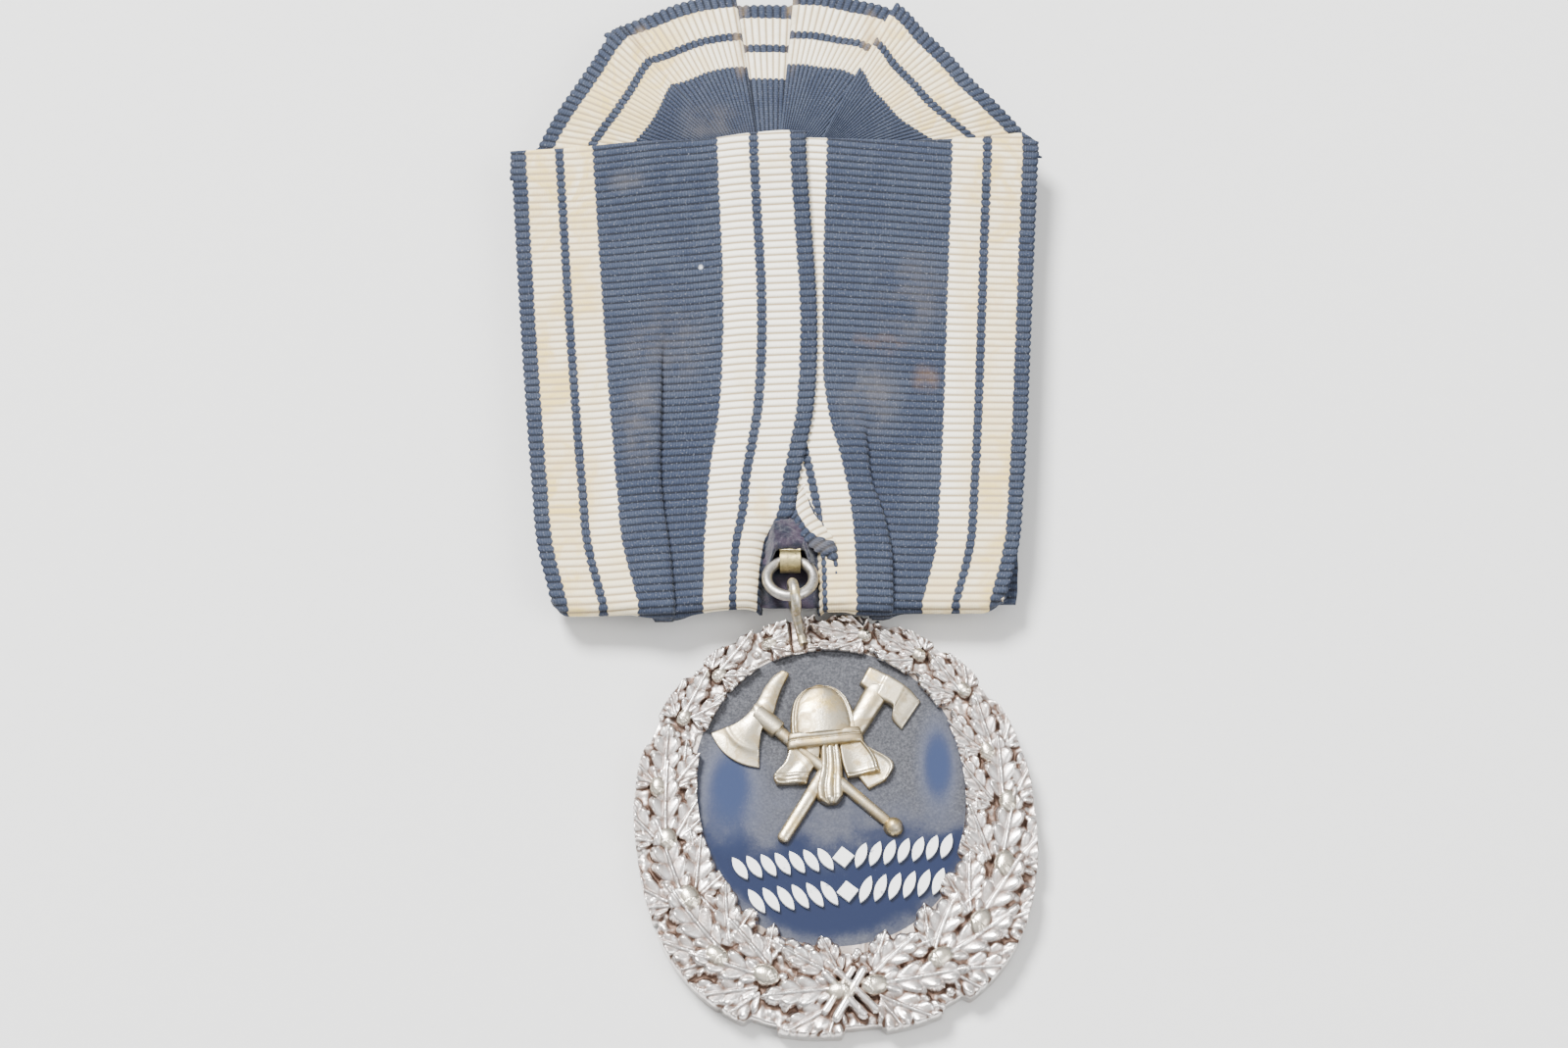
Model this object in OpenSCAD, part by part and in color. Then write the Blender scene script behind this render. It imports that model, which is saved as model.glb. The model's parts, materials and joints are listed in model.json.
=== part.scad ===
// Service medal on a folded and pleated ribbon bar, lying face up.
// +Y runs from the medal to the ribbon's fan, +X to the right, +Z out of the face.
// The origin is under the middle of the whole piece, on the surface that it lies on.

/* [Ribbon bar] */
// Width across the top fold
top_w = 43.6; // [43:0.1:44.4]
// Width across the lower fold
foot_w = 36; // [35:0.25:37]
// Height from the lower fold to the top fold
bar_h = 41; // [40:0.2:42]
// Height of the fan above the top fold
fan_h = 14.2; // [13.4:0.2:15]
// Height of the fan's crown above the origin
crown_y = 45.1; // [44:0.1:46]
// Thickness of one layer of ribbon
ribbon_t = 0.4; // [0.3:0.05:0.45]
// Thickness of the stiffener plate
plate_t = 0.4; // [0.3:0.05:0.45]
// Thickness of the card under the ribbon
card_t = 0.5; // [0.4:0.05:0.6]
// Thickness of the felt lining on the back
felt_t = 0.5; // [0.4:0.05:0.6]

/* [Hanger] */
// Distance of the hanger off the middle line
hanger_x = 0.5; // [0.3:0.1:0.7]
// Height of the hanger pin above the lower fold
pin_rise = 5.5; // [5.5:0.1:5.9]
// Radius of the hanger pin
pin_r = 0.35; // [0.3:0.01:0.36]
// Distance between the two eyes of the link
link_pitch = 1.66; // [1.6:0.02:1.7]
// Width of the link
link_w = 1.64; // [1.5:0.02:1.66]
// Radius of the ring, to the middle of its wire
ring_r = 1.86; // [1.8:0.02:1.92]
// Radius of the ring's wire
ring_wire_r = 0.43; // [0.4:0.01:0.44]
// Slope of the ring above the medal's plane, in degrees
ring_tilt = 18; // [15:1:20]
// Turn of the ring at rest, in degrees
ring_turn = 8.5; // [4:0.5:9]

/* [Medal] */
// Turn of the medal at rest, in degrees
sway = 6.5; // [4:0.5:8]
// Half the medal's width
medal_a = 15.7; // [15:0.1:16]
// Height of the medal above its widest line
medal_up = 16.75; // [16:0.25:17]
// Height of the medal below its widest line
medal_down = 17.5; // [17:0.25:18]
// Half the width of the enamelled field
field_a = 10.9; // [10.5:0.1:11.2]
// Half the height of the enamelled field
field_b = 12.3; // [12:0.1:12.6]
// Thickness of the struck plate
base_t = 1.6; // [1.4:0.1:1.7]
// Height of the wreath above the plate
wreath_t = 1.4; // [1.2:0.1:1.4]

/* [Brooch pin] */
// Length of the needle from its rivet to its point
needle_l = 33.5; // [31:0.5:34.5]
// Radius of the needle
needle_r = 0.4; // [0.3:0.02:0.42]
// Height of the needle's line above the origin
needle_y = 22; // [20:0.5:23]

/* [Hidden] */
$fn = 48;
top_y = crown_y - fan_h;
foot_y = top_y - bar_h;
lining_z = 1.7;
back_z = lining_z + felt_t;
plate_z = back_z + ribbon_t;
card_z = plate_z + plate_t;
front_z = card_z + card_t;
over_z = front_z + ribbon_t;
fold_t = 0.5;                       // depth of ribbon round the upper and lower edges
tuck_x = 3.4;                       // the right panel runs this far under the left one
notch_x = [-2.3, 3.3];              // sides of the hanger's notch
notch_top = foot_y + 7.0;           // top of the notch in the plate and ribbon
card_notch_top = foot_y + 7.8;      // top of the notch in the card

pin_y = foot_y + pin_rise;
pin_z = card_z + 0.3;
barrel_y = pin_y - link_pitch;
barrel_bore = 0.72;
barrel_r = 0.95;
link_eye_r = 0.75;
link_bore = pin_r + 0.05;
ear_t = 0.45;
ear_gap = link_w / 2 + 0.08;
wire_play = 0.1;                    // the ring's wire sits this far above the barrel's axis
ring_y = barrel_y + wire_play - ring_r * cos(ring_tilt);
ring_z = pin_z + ring_r * sin(ring_tilt);

eye_r = 1.15;
eye_wire_r = 0.4;
eye_play = 0.15;                    // the eye hangs this far below the ring's wire
eye_reach = ring_r + eye_play;
eye_x = hanger_x + eye_reach * sin(ring_turn);
eye_y = ring_y - eye_reach * cos(ring_turn) * cos(ring_tilt);
eye_z = ring_z + eye_reach * cos(ring_turn) * sin(ring_tilt);
medal_axis_x = 1.15;                // the eye stands off the medal's middle line
medal_mid_q = -0.95 - medal_up;     // widest line, below the eye
field_up = 1.8;                     // the field's middle, above the widest line
rim_gap = 0.7;                      // the plate's edge, inside the wreath's edge
enamel_t = 0.3;
stem_tail_q = -3.1;

rivet_x = -16;
catch_x = 14.5;
needle_z = 0.85;
pad_z = 1.4;
pad_t = lining_z - pad_z;
needle_eye_r = 1.1;
needle_rivet_r = 0.5;
mount_rivet_r = 0.4;
mount_rivet_off = 2.2;

// ---- helpers ----

// Round bar from point a to point b
module rod(a, b, r) {
    d = b - a;
    h = norm(d);
    translate(a) rotate([0, acos(d[2] / h), atan2(d[1], d[0])]) cylinder(h = h, r = r);
}

// Half the ribbon's width at height y
function edge_x(y) = foot_w / 2 + (top_w - foot_w) / 2 * (y - foot_y) / bar_h;

// Trapezoid drawn in from the ribbon's edges by m on every side
module trapezoid(m) {
    polygon([
        [-edge_x(top_y - m) + m, top_y - m], [edge_x(top_y - m) - m, top_y - m],
        [edge_x(foot_y + m) - m, foot_y + m], [-edge_x(foot_y + m) + m, foot_y + m]
    ]);
}

module slab(z, t) {
    translate([0, 0, z]) linear_extrude(t) children();
}

// Notch that leaves the hanger room, open at the lower edge
module notch(y) {
    translate([notch_x[0], foot_y - 1]) square([notch_x[1] - notch_x[0], y - foot_y + 1]);
}

// Centres of the rivets that hold the pin's two pads
function rivet_spots() = [
    for (x = [rivet_x, catch_x]) for (side = [-1, 1]) [x + side * mount_rivet_off, needle_y]
];

module rivet_holes() {
    for (spot = rivet_spots()) translate(spot) circle(mount_rivet_r);
}

// Oval with its own height and fullness above and below its widest line.
// lobes and depth give its edge a row of scallops.
function oval(a, up, down, n_up, n_down, steps, lobes = 0, depth = 0) = [
    for (i = [0:steps - 1])
        let (t = 360 * i / steps,
             b = sin(t) >= 0 ? up : down,
             n = sin(t) >= 0 ? n_up : n_down,
             k = 1 + depth * cos(lobes * t))
        [k * a * sign(cos(t)) * pow(abs(cos(t)), 2 / n),
         k * b * sign(sin(t)) * pow(abs(sin(t)), 2 / n)]
];

module medal_oval(inset, lobes = 0, depth = 0) {
    polygon(oval(medal_a - inset, medal_up - inset, medal_down - inset, 2.05, 2.45,
                 144, lobes, depth));
}

module field_oval(grow = 0) {
    translate([0, field_up])
        polygon(oval(field_a + grow, field_b + grow, field_b + grow, 2.1, 2.1, 96));
}

// Moves a shape drawn round the ring's centre, in the ring's plane
module at_ring() {
    translate([hanger_x, ring_y, ring_z]) rotate([-ring_tilt, 0, 0]) children();
}

// Moves a shape drawn below the eye, with the eye above the origin
module under_eye() {
    translate([eye_x, eye_y, 0]) rotate([0, 0, sway]) children();
}

// Moves a shape drawn round the middle of the medal's widest line
module at_medal() {
    under_eye() translate([medal_axis_x, medal_mid_q, 0]) children();
}

// ---- stiffener, card and lining ----

// Pressed tin plate with two ears that hold the hanger pin
module stiffener_plate() {
    color("slategray") {
        slab(plate_z, plate_t) difference() {
            trapezoid(fold_t);
            notch(notch_top);
            rivet_holes();
        }
        for (side = [-1, 1])
            translate([hanger_x + side * (ear_gap + ear_t / 2) - ear_t / 2, 0, 0]) ear();
    }
}

module ear() {
    boss_r = 0.64;
    difference() {
        union() {
            translate([0, pin_y, pin_z]) rotate([0, 90, 0]) cylinder(h = ear_t, r = boss_r);
            translate([0, pin_y, plate_z])
                cube([ear_t, notch_top - pin_y + 0.4, pin_z + boss_r - plate_z]);
        }
        translate([-1, pin_y, pin_z]) rotate([0, 90, 0]) cylinder(h = ear_t + 2, r = pin_r);
    }
}

// Card that fills out the ribbon, below the fan's tail
module card_liner() {
    card_top = top_y - 7;
    color("tan") slab(card_z, card_t) difference() {
        intersection() {
            trapezoid(fold_t);
            translate([-top_w / 2, foot_y]) square([top_w, card_top - foot_y]);
        }
        notch(card_notch_top);
    }
}

// Felt that covers the back and carries the brooch pin
module back_lining() {
    color("midnightblue") slab(lining_z, felt_t) difference() {
        trapezoid(fold_t + 0.3);
        rivet_holes();
    }
}

// Whip stitches along the lining's edge
module lining_stitches() {
    stitch_l = 1.3;
    stitch_h = 0.12;
    stitch_w = 0.3;
    count = 11;
    in_by = 1.9;
    module stitch() {
        translate([-stitch_l / 2, -stitch_w / 2, lining_z - stitch_h])
            cube([stitch_l, stitch_w, stitch_h]);
    }
    color("lightslategray") for (i = [0:count - 1]) {
        y = foot_y + in_by + (bar_h - 2 * in_by) * (i + 0.5) / count;
        x = edge_x(y) - in_by;
        for (side = [-1, 1]) translate([side * x, y, 0]) rotate([0, 0, side * 30]) stitch();
        for (row = [foot_y + in_by, top_y - in_by]) {
            x_row = (edge_x(row) - in_by - 1) * (2 * i / (count - 1) - 1);
            translate([x_row, row, 0]) rotate([0, 0, 60]) stitch();
        }
    }
}

// ---- ribbon ----

// Layer of ribbon between the plate and the lining
module ribbon_back_layer() {
    color("#2c3550") slab(back_z, ribbon_t) difference() {
        trapezoid(fold_t);
        notch(notch_top);
        rivet_holes();
    }
}

// Corners of the opening that shows the hanger: its apex, its widest place and its foot
function gap_apex() = [1.5, foot_y + 13.2];
function gap_left() = [[-2.2, foot_y + 2.2], [-1.7, foot_y]];
function gap_right() = [[3.9, foot_y + 2.7], [2.8, foot_y]];

// Whole width of ribbon, in front, lying over the right panel's inner edge
module ribbon_left_panel() {
    lift = atan(ribbon_t / (edge_x(top_y) - tuck_x));
    right_top = [2.2, top_y];
    color("#d8c9a4") {
        translate([-edge_x(top_y), 0, front_z]) rotate([0, -lift, 0])
            translate([edge_x(top_y), 0, 0]) linear_extrude(ribbon_t)
                polygon([[-edge_x(top_y), top_y], right_top, gap_apex(),
                         gap_left()[0], gap_left()[1], [-edge_x(foot_y), foot_y]]);
        panel_fold(-edge_x(foot_y), gap_left()[1][0], lift);
    }
}

// Panel with its inner edge tucked under the left one
module ribbon_right_panel() {
    color("#d8c9a4") {
        slab(front_z, ribbon_t)
            polygon([[edge_x(top_y), top_y], [-tuck_x, top_y], [-tuck_x, gap_apex()[1] + 2],
                     gap_apex(), gap_right()[0], gap_right()[1], [edge_x(foot_y), foot_y]]);
        panel_fold(gap_right()[1][0], edge_x(foot_y), 0);
    }
}

// Ribbon turned round the lower edge, from x0 to x1, under a panel that rises by lift degrees
module panel_fold(x0, x1, lift) {
    inside = 0.15;
    a = x0 + inside;
    b = x1 - inside;
    za = front_z + inside + (a + edge_x(top_y)) * tan(lift);
    zb = front_z + inside + (b + edge_x(top_y)) * tan(lift);
    translate([0, foot_y + fold_t, 0]) rotate([90, 0, 0]) linear_extrude(fold_t)
        polygon([[a, back_z], [b, back_z], [b, zb], [a, za]]);
}

// Five pleats above the top fold: the outer ones lie in front, the middle one lowest
module ribbon_fan() {
    pleat_t = 0.3;
    crown = crown_y;
    color("#dccfae") {
        slab(card_z, pleat_t) union() {
            polygon([[-21.5, top_y], [-20, top_y + 1.1], [-14, top_y + 10.6],
                     [-11, top_y + 12.6], [-4, crown], [1, crown], [9.5, top_y + 12.8],
                     [15, top_y + 7.4], [21, top_y + 0.4], [21, top_y]]);
            translate([-19, top_y - 6.5]) square([38, 6.5]);
        }
        slab(card_z + pleat_t, pleat_t) {
            polygon([[-14, top_y + 10.6], [-11, top_y + 12.6], [-4, crown],
                     [-2.7, top_y + 7], [-1.8, top_y], [-8, top_y]]);
            polygon([[0.7, crown], [9.5, top_y + 12.8], [12, top_y + 10.4],
                     [7, top_y], [-0.5, top_y], [0.3, top_y + 7]]);
        }
        slab(card_z + pleat_t, 2 * pleat_t) {
            polygon([[-21.5, top_y], [-20, top_y + 1.1], [-13.5, top_y + 11],
                     [-8.7, top_y + 5.5], [-6, top_y]]);
            polygon([[21, top_y], [21, top_y + 0.4], [15, top_y + 7.4], [9.5, top_y + 12.8],
                     [6, top_y + 6.3], [4, top_y]]);
        }
    }
}

// Dark cloth round the hanger: a tongue above it and a cheek on each side
module ribbon_inner_fold() {
    cheek_t = 0.34;
    color("#1c2233") {
        slab(front_z, 0.2)
            polygon([[1.5, foot_y + 12.4], [-0.5, card_notch_top], [2.6, card_notch_top]]);
        for (x = [notch_x[0], notch_x[1] - cheek_t])
            translate([x, foot_y + fold_t, back_z])
                cube([cheek_t, notch_top - foot_y - fold_t, front_z - back_z]);
    }
}

// Inner edge of the right panel, turned out beside the hanger
module ribbon_turned_flap() {
    color("#d8c9a4") slab(over_z, ribbon_t)
        polygon([[2.1, foot_y + 7.9], [3.4, foot_y + 7.8], [4.3, foot_y + 3.9],
                 [3.9, foot_y + 3.1], [3.0, foot_y + 4.6]]);
}

// ---- hanger ----

module hanger_pin() {
    half = ear_gap + ear_t + 0.12;
    color("gray") translate([hanger_x - half, pin_y, pin_z])
        rotate([0, 90, 0]) cylinder(h = 2 * half, r = pin_r);
}

// Brass link: a small eye on the pin and a barrel for the ring
module hanger_link() {
    web = 1.1;
    module across(r, h) {
        translate([-h / 2, 0, 0]) rotate([0, 90, 0]) cylinder(h = h, r = r);
    }
    color("darkkhaki") difference() {
        union() {
            translate([hanger_x, pin_y, pin_z]) across(link_eye_r, link_w);
            translate([hanger_x, barrel_y, pin_z]) across(barrel_r, link_w);
            translate([hanger_x - link_w / 2, barrel_y, pin_z - web / 2])
                cube([link_w, link_pitch, web]);
        }
        translate([hanger_x, pin_y, pin_z]) across(link_bore, link_w + 2);
        translate([hanger_x, barrel_y, pin_z]) across(barrel_bore, link_w + 2);
    }
}

module suspension_ring() {
    color("dimgray") at_ring() rotate_extrude() translate([ring_r, 0]) circle(ring_wire_r);
}

// Wire eye on the ring, with a stem that is soldered to the medal's plate
module medal_eye() {
    stem_r = 0.36;
    foot = [0.3, -2.3, base_t + stem_r];
    tail = [0.4, stem_tail_q, base_t + stem_r];
    neck = [0, -eye_r * cos(45), eye_z - eye_r * sin(45)];
    color("silver") {
        at_ring() rotate([0, 0, ring_turn]) translate([0, -eye_reach, 0])
            rotate([0, 90, 0]) rotate_extrude() translate([eye_r, 0]) circle(eye_wire_r);
        under_eye() {
            rod(neck, foot, stem_r);
            rod(foot, tail, stem_r);
        }
    }
}

// ---- medal ----

// Struck plate with a shallow pocket for the enamel
module medal_base_plate() {
    color("silver") at_medal() difference() {
        linear_extrude(base_t) medal_oval(rim_gap);
        slab(base_t - enamel_t, enamel_t + 1) field_oval();
    }
}

// Two branches of leaves as a scalloped band, parted at the top where the stem lies
module oak_wreath() {
    color("gainsboro") at_medal() difference() {
        union() {
            slab(base_t, 0.6 * wreath_t) medal_oval(0, 36, 0.014);
            slab(base_t + 0.6 * wreath_t, 0.4 * wreath_t) medal_oval(0.9, 36, 0.014);
        }
        slab(base_t - 1, wreath_t + 2) field_oval();
        translate([0, 0, base_t + 0.6 * wreath_t]) linear_extrude(wreath_t) field_oval(0.6);
        translate([-medal_axis_x, -medal_mid_q, base_t - 0.5]) linear_extrude(wreath_t + 1)
            polygon([[-1.0, 0], [-0.45, stem_tail_q - 0.5], [0.2, stem_tail_q - 0.9],
                     [1.0, stem_tail_q - 0.5], [1.0, 0]]);
    }
}

module enamel_field() {
    color("#31384e") at_medal() slab(base_t - enamel_t, enamel_t) field_oval();
}

// ---- badge: helmet over a crossed axe and hatchet ----

// Outlines are drawn round the medal's widest line
module dome_outline() {
    translate([0, 7]) polygon(oval(2.6, 3.8, 0.1, 2.1, 2, 48));
}

module flaps_outline() {
    polygon([[-2.85, 6.1], [-3.2, 5], [-4.35, 3.7], [-4.15, 3.1], [-1.95, 2.9],
             [-1.55, 3.6], [-0.6, 4.6], [-0.3, 6.1]]);
    polygon([[1.1, 6.1], [2.85, 6.1], [3.95, 4.8], [5.25, 3.7], [4.35, 2.5],
             [3.15, 1.9], [2.35, 2.8], [1.15, 3.3]]);
}

module strap_outline() {
    polygon([[-0.4, 6.1], [1.1, 6.1], [1.1, 3.5], [0.95, 2], [0.65, 1.2],
             [-0.15, 1], [-1.05, 1.4], [-1.25, 2], [-0.6, 4]]);
}

module helmet_outline() {
    dome_outline();
    translate([-2.85, 6.05]) square([5.7, 1.05]);
    flaps_outline();
    strap_outline();
}

module helmet_badge() {
    dome_h = 1.3;
    dome_r = 4.2;
    color("lightgray") at_medal() {
        intersection() {
            slab(base_t, dome_h) dome_outline();
            translate([0, 8.2, base_t + dome_h - dome_r]) sphere(dome_r);
        }
        slab(base_t, 0.95) translate([-2.85, 6.05]) square([5.7, 1.05]);
        slab(base_t, 0.6) flaps_outline();
        slab(base_t, 0.8) strap_outline();
    }
}

// Straight shaft from a to b, w wide, in plan
module shaft_outline(a, b, w) {
    d = b - a;
    translate(a) rotate(atan2(d[1], d[0])) translate([0, -w / 2]) square([norm(d), w]);
}

// Fire axe, its blade to the left, with a ball at the foot of its shaft
module axe_badge() {
    ball = [4.45, -1.3];
    shaft_w = 0.95;
    color("lightgray") at_medal() difference() {
        union() {
            slab(base_t, 0.75)
                polygon([[-8.85, 8], [-6.35, 8.8], [-5.05, 10], [-4.05, 11.4], [-3.35, 12.2],
                         [-2.55, 12.5], [-2.15, 12.1], [-2.85, 11.2], [-3.45, 10],
                         [-3.95, 8.8], [-5.15, 7.9], [-5.25, 6.5], [-5.35, 4.7],
                         [-6.55, 5.2], [-7.85, 6]]);
            slab(base_t, 0.6) shaft_outline([-4.4, 8.5], ball, shaft_w);
            translate([ball[0], ball[1], base_t]) cylinder(h = 0.3, r = 0.75);
            translate([ball[0], ball[1], base_t + 0.3]) intersection() {
                sphere(0.75);
                cylinder(h = 1, r = 1);
            }
        }
        slab(base_t - 1, 4) helmet_outline();
    }
}

// Hatchet, its head to the right
module hatchet_badge() {
    color("lightgray") at_medal() difference() {
        union() {
            slab(base_t, 0.75)
                polygon([[3.25, 10.7], [4.25, 12.1], [6.25, 10.7], [8.05, 8.9],
                         [6.15, 6.6], [5.45, 7.6], [5.85, 8.4], [4.95, 9]]);
            slab(base_t, 0.6) shaft_outline([0, 4.1], [4.5, 9.85], 1.8);
            slab(base_t, 0.6) shaft_outline([-4.35, -1.5], [0, 4.1], 1.05);
        }
        slab(base_t - 1, 4) helmet_outline();
        slab(base_t - 1, 4) shaft_outline([-4.4, 8.5], [4.45, -1.3], 0.95);
    }
}

// ---- leaf ornament in white enamel ----

// Pointed leaflet h long, where two round discs cross
module leaflet(h, w) {
    bow = (h * h + w * w) / (4 * w);
    intersection() {
        translate([bow - w / 2, 0, 0]) cylinder(h = 0.35, r = bow);
        translate([w / 2 - bow, 0, 0]) cylinder(h = 0.35, r = bow);
    }
}

// Row of leaflets that lean away from a lozenge in the middle
module leaf_row(y, count, pitch, h) {
    lean = 28;
    color("whitesmoke") at_medal() translate([0.3, y, base_t]) {
        rotate([0, 0, 45]) translate([-0.6, -0.6, 0]) cube([1.2, 1.2, 0.35]);
        for (i = [1:count]) for (side = [-1, 1])
            translate([side * (i + 0.25) * pitch, 0, 0])
                rotate([0, 0, -side * lean]) leaflet(h, 0.8);
    }
}

module leaf_inlay_upper() { leaf_row(-3.4, 7, 1.12, 2.1); }

module leaf_inlay_lower() { leaf_row(-6.2, 6, 1.14, 2.3); }

// ---- brooch pin ----

// Pad riveted to the back, w by h, with round holes for its rivets
module pad(x, w, h) {
    slab(pad_z, pad_t) difference() {
        translate([x - w / 2, needle_y - h / 2]) square([w, h]);
        rivet_holes();
        translate([rivet_x, needle_y]) circle(needle_rivet_r);
    }
}

module pin_hinge_plate() {
    color("goldenrod") pad(rivet_x, 6.2, 3.4);
}

// Pad with a hook that is open downwards, so the needle springs in sideways
module pin_catch() {
    hook_w = 2.2;
    hook_r = 0.85;
    mouth = needle_r + 0.03;
    color("goldenrod") {
        pad(catch_x, 6.2, 3.4);
        difference() {
            translate([catch_x - hook_w / 2, needle_y, needle_z]) rotate([0, 90, 0])
                cylinder(h = hook_w, r = hook_r);
            translate([catch_x - hook_w, needle_y, needle_z]) rotate([0, 90, 0])
                cylinder(h = 2 * hook_w, r = needle_r + 0.1);
            translate([catch_x - hook_w, needle_y - 2 * hook_r, needle_z - mouth])
                cube([2 * hook_w, 2 * hook_r, 2 * mouth]);
            translate([catch_x - hook_w, needle_y - 2 * hook_r, pad_z])
                cube([2 * hook_w, 4 * hook_r, hook_r]);
        }
    }
}

// Rivet that the needle turns on
module needle_rivet() {
    color("gray") {
        translate([rivet_x, needle_y, 0]) cylinder(h = 0.35, r = 1);
        translate([rivet_x, needle_y, 0]) cylinder(h = lining_z, r = needle_rivet_r);
    }
}

module mounting_rivets() {
    color("gray") for (spot = rivet_spots())
        translate([spot[0], spot[1], pad_z]) cylinder(h = card_z - pad_z, r = mount_rivet_r);
}

module brooch_needle() {
    point_l = 4;
    shaft_end = rivet_x + needle_l - point_l;
    color("silver") difference() {
        union() {
            translate([rivet_x, needle_y, needle_z - needle_r])
                cylinder(h = 2 * needle_r, r = needle_eye_r);
            rod([rivet_x + 0.8, needle_y, needle_z], [shaft_end, needle_y, needle_z], needle_r);
            translate([shaft_end, needle_y, needle_z]) rotate([0, 90, 0])
                cylinder(h = point_l, r1 = needle_r, r2 = 0.06);
        }
        translate([rivet_x, needle_y, -1]) cylinder(h = 4, r = needle_rivet_r + 0.04);
    }
}

stiffener_plate();
card_liner();
back_lining();
lining_stitches();
ribbon_back_layer();
ribbon_left_panel();
ribbon_right_panel();
ribbon_fan();
ribbon_inner_fold();
ribbon_turned_flap();
hanger_pin();
hanger_link();
suspension_ring();
medal_eye();
medal_base_plate();
oak_wreath();
enamel_field();
helmet_badge();
axe_badge();
hatchet_badge();
leaf_inlay_upper();
leaf_inlay_lower();
pin_hinge_plate();
pin_catch();
needle_rivet();
mounting_rivets();
brooch_needle();
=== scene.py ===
import json
import math

import bpy
import numpy as np
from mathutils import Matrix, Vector


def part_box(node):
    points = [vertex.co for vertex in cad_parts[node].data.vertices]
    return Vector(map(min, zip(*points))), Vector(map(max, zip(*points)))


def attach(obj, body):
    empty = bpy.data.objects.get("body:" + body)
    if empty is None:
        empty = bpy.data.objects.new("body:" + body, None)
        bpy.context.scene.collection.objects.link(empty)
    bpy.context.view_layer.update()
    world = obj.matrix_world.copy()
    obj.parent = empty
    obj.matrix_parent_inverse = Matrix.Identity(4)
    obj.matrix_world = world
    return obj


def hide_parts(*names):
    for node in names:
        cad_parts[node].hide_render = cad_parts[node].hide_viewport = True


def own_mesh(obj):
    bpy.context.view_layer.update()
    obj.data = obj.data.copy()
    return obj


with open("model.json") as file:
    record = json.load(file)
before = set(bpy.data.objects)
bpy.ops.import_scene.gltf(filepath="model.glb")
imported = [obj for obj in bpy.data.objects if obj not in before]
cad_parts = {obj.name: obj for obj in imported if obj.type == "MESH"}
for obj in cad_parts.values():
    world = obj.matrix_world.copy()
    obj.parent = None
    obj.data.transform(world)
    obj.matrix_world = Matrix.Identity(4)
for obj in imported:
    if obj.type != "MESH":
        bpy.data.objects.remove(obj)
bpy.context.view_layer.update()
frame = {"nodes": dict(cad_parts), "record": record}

# Lengths in this script are millimetres, x to the right, y towards the fan, z out of the face.
mm = 0.001


def nodeBox(name):
    low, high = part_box(name)
    return np.array(low) / mm, np.array(high) / mm


def smoothStep(low, high, value):
    t = np.clip((value - low) / (high - low), 0, 1)
    return t * t * (3 - 2 * t)


def throughPoints(value, places, heights):
    # cubic pieces through the points; the slope at each is that of its neighbours
    places, heights = np.asarray(places, float), np.asarray(heights, float)
    slopes = np.gradient(heights, places)
    value = np.clip(value, places[0], places[-1])
    i = np.clip(np.searchsorted(places, value) - 1, 0, len(places) - 2)
    width = places[i + 1] - places[i]
    t = (value - places[i]) / width
    return ((2 * t**3 - 3 * t**2 + 1) * heights[i] + (t**3 - 2 * t**2 + t) * width * slopes[i]
            + (3 * t**2 - 2 * t**3) * heights[i + 1] + (t**3 - t**2) * width * slopes[i + 1])


def smoothPath(points, count):
    # count points on a smooth line through the given ones, spaced by chord length
    points = np.asarray(points, float)
    far = np.concatenate([[0], np.cumsum(np.linalg.norm(np.diff(points, axis=0), axis=1))])
    t = np.linspace(0, far[-1], count)
    return np.stack([throughPoints(t, far, points[:, k]) for k in range(points.shape[1])], axis=-1)


def ripple(x, y, size, seed):
    # sum of 14 plane waves about size long, in seeded directions; stays within about -1 to 1
    dice = np.random.default_rng(seed)
    total = np.zeros(np.broadcast(x, y).shape)
    for turn, phase, stretch in zip(dice.uniform(0, 2 * np.pi, 14), dice.uniform(0, 2 * np.pi, 14),
                                    dice.uniform(0.7, 1.5, 14)):
        k = 2 * np.pi / (size * stretch)
        total += np.sin(k * (x * np.cos(turn) + y * np.sin(turn)) + phase)
    return total / 5


def logCosh(x):
    return np.logaddexp(x, -x) - math.log(2)


def buildMesh(name, points, faces, weave=None, masks=None):
    # points (n, 3) in mm; faces is a list of index arrays, quads or triangles;
    # weave (n, 2) becomes the UV map and masks become point attributes
    mesh = bpy.data.meshes.new(name)
    loops = np.concatenate([np.asarray(f, np.int32).ravel() for f in faces])
    sizes = np.concatenate([np.full(len(f), np.shape(f)[1], np.int32) for f in faces])
    starts = np.concatenate([[0], np.cumsum(sizes)[:-1]]).astype(np.int32)
    mesh.vertices.add(len(points))
    mesh.vertices.foreach_set("co", (np.asarray(points) * mm).astype(np.float32).ravel())
    mesh.loops.add(len(loops))
    mesh.loops.foreach_set("vertex_index", loops)
    mesh.polygons.add(len(sizes))
    mesh.polygons.foreach_set("loop_start", starts)
    mesh.polygons.foreach_set("use_smooth", np.ones(len(sizes), bool))
    if weave is not None:
        layer = mesh.uv_layers.new(name="weave")
        layer.data.foreach_set("uv", np.asarray(weave, np.float32)[loops].ravel())
    for key, value in (masks or {}).items():
        mask = mesh.attributes.new(key, "FLOAT", "POINT")
        mask.data.foreach_set("value", np.asarray(value, np.float32).ravel())
    mesh.update(calc_edges=True)
    mesh.validate()
    return mesh


def gridFaces(rows, columns, first=0, turnOver=False, closeRows=False, closeColumns=False):
    # quads between neighbours of a rows x columns grid, seen anticlockwise from +z
    i = np.arange(rows if closeRows else rows - 1)[:, None]
    j = np.arange(columns if closeColumns else columns - 1)[None, :]
    down, right = (i + 1) % rows, (j + 1) % columns
    corners = [i * columns + j, i * columns + right, down * columns + right, down * columns + j]
    if turnOver:
        corners.reverse()
    return np.stack(np.broadcast_arrays(*corners), axis=-1).reshape(-1, 4) + first


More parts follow.
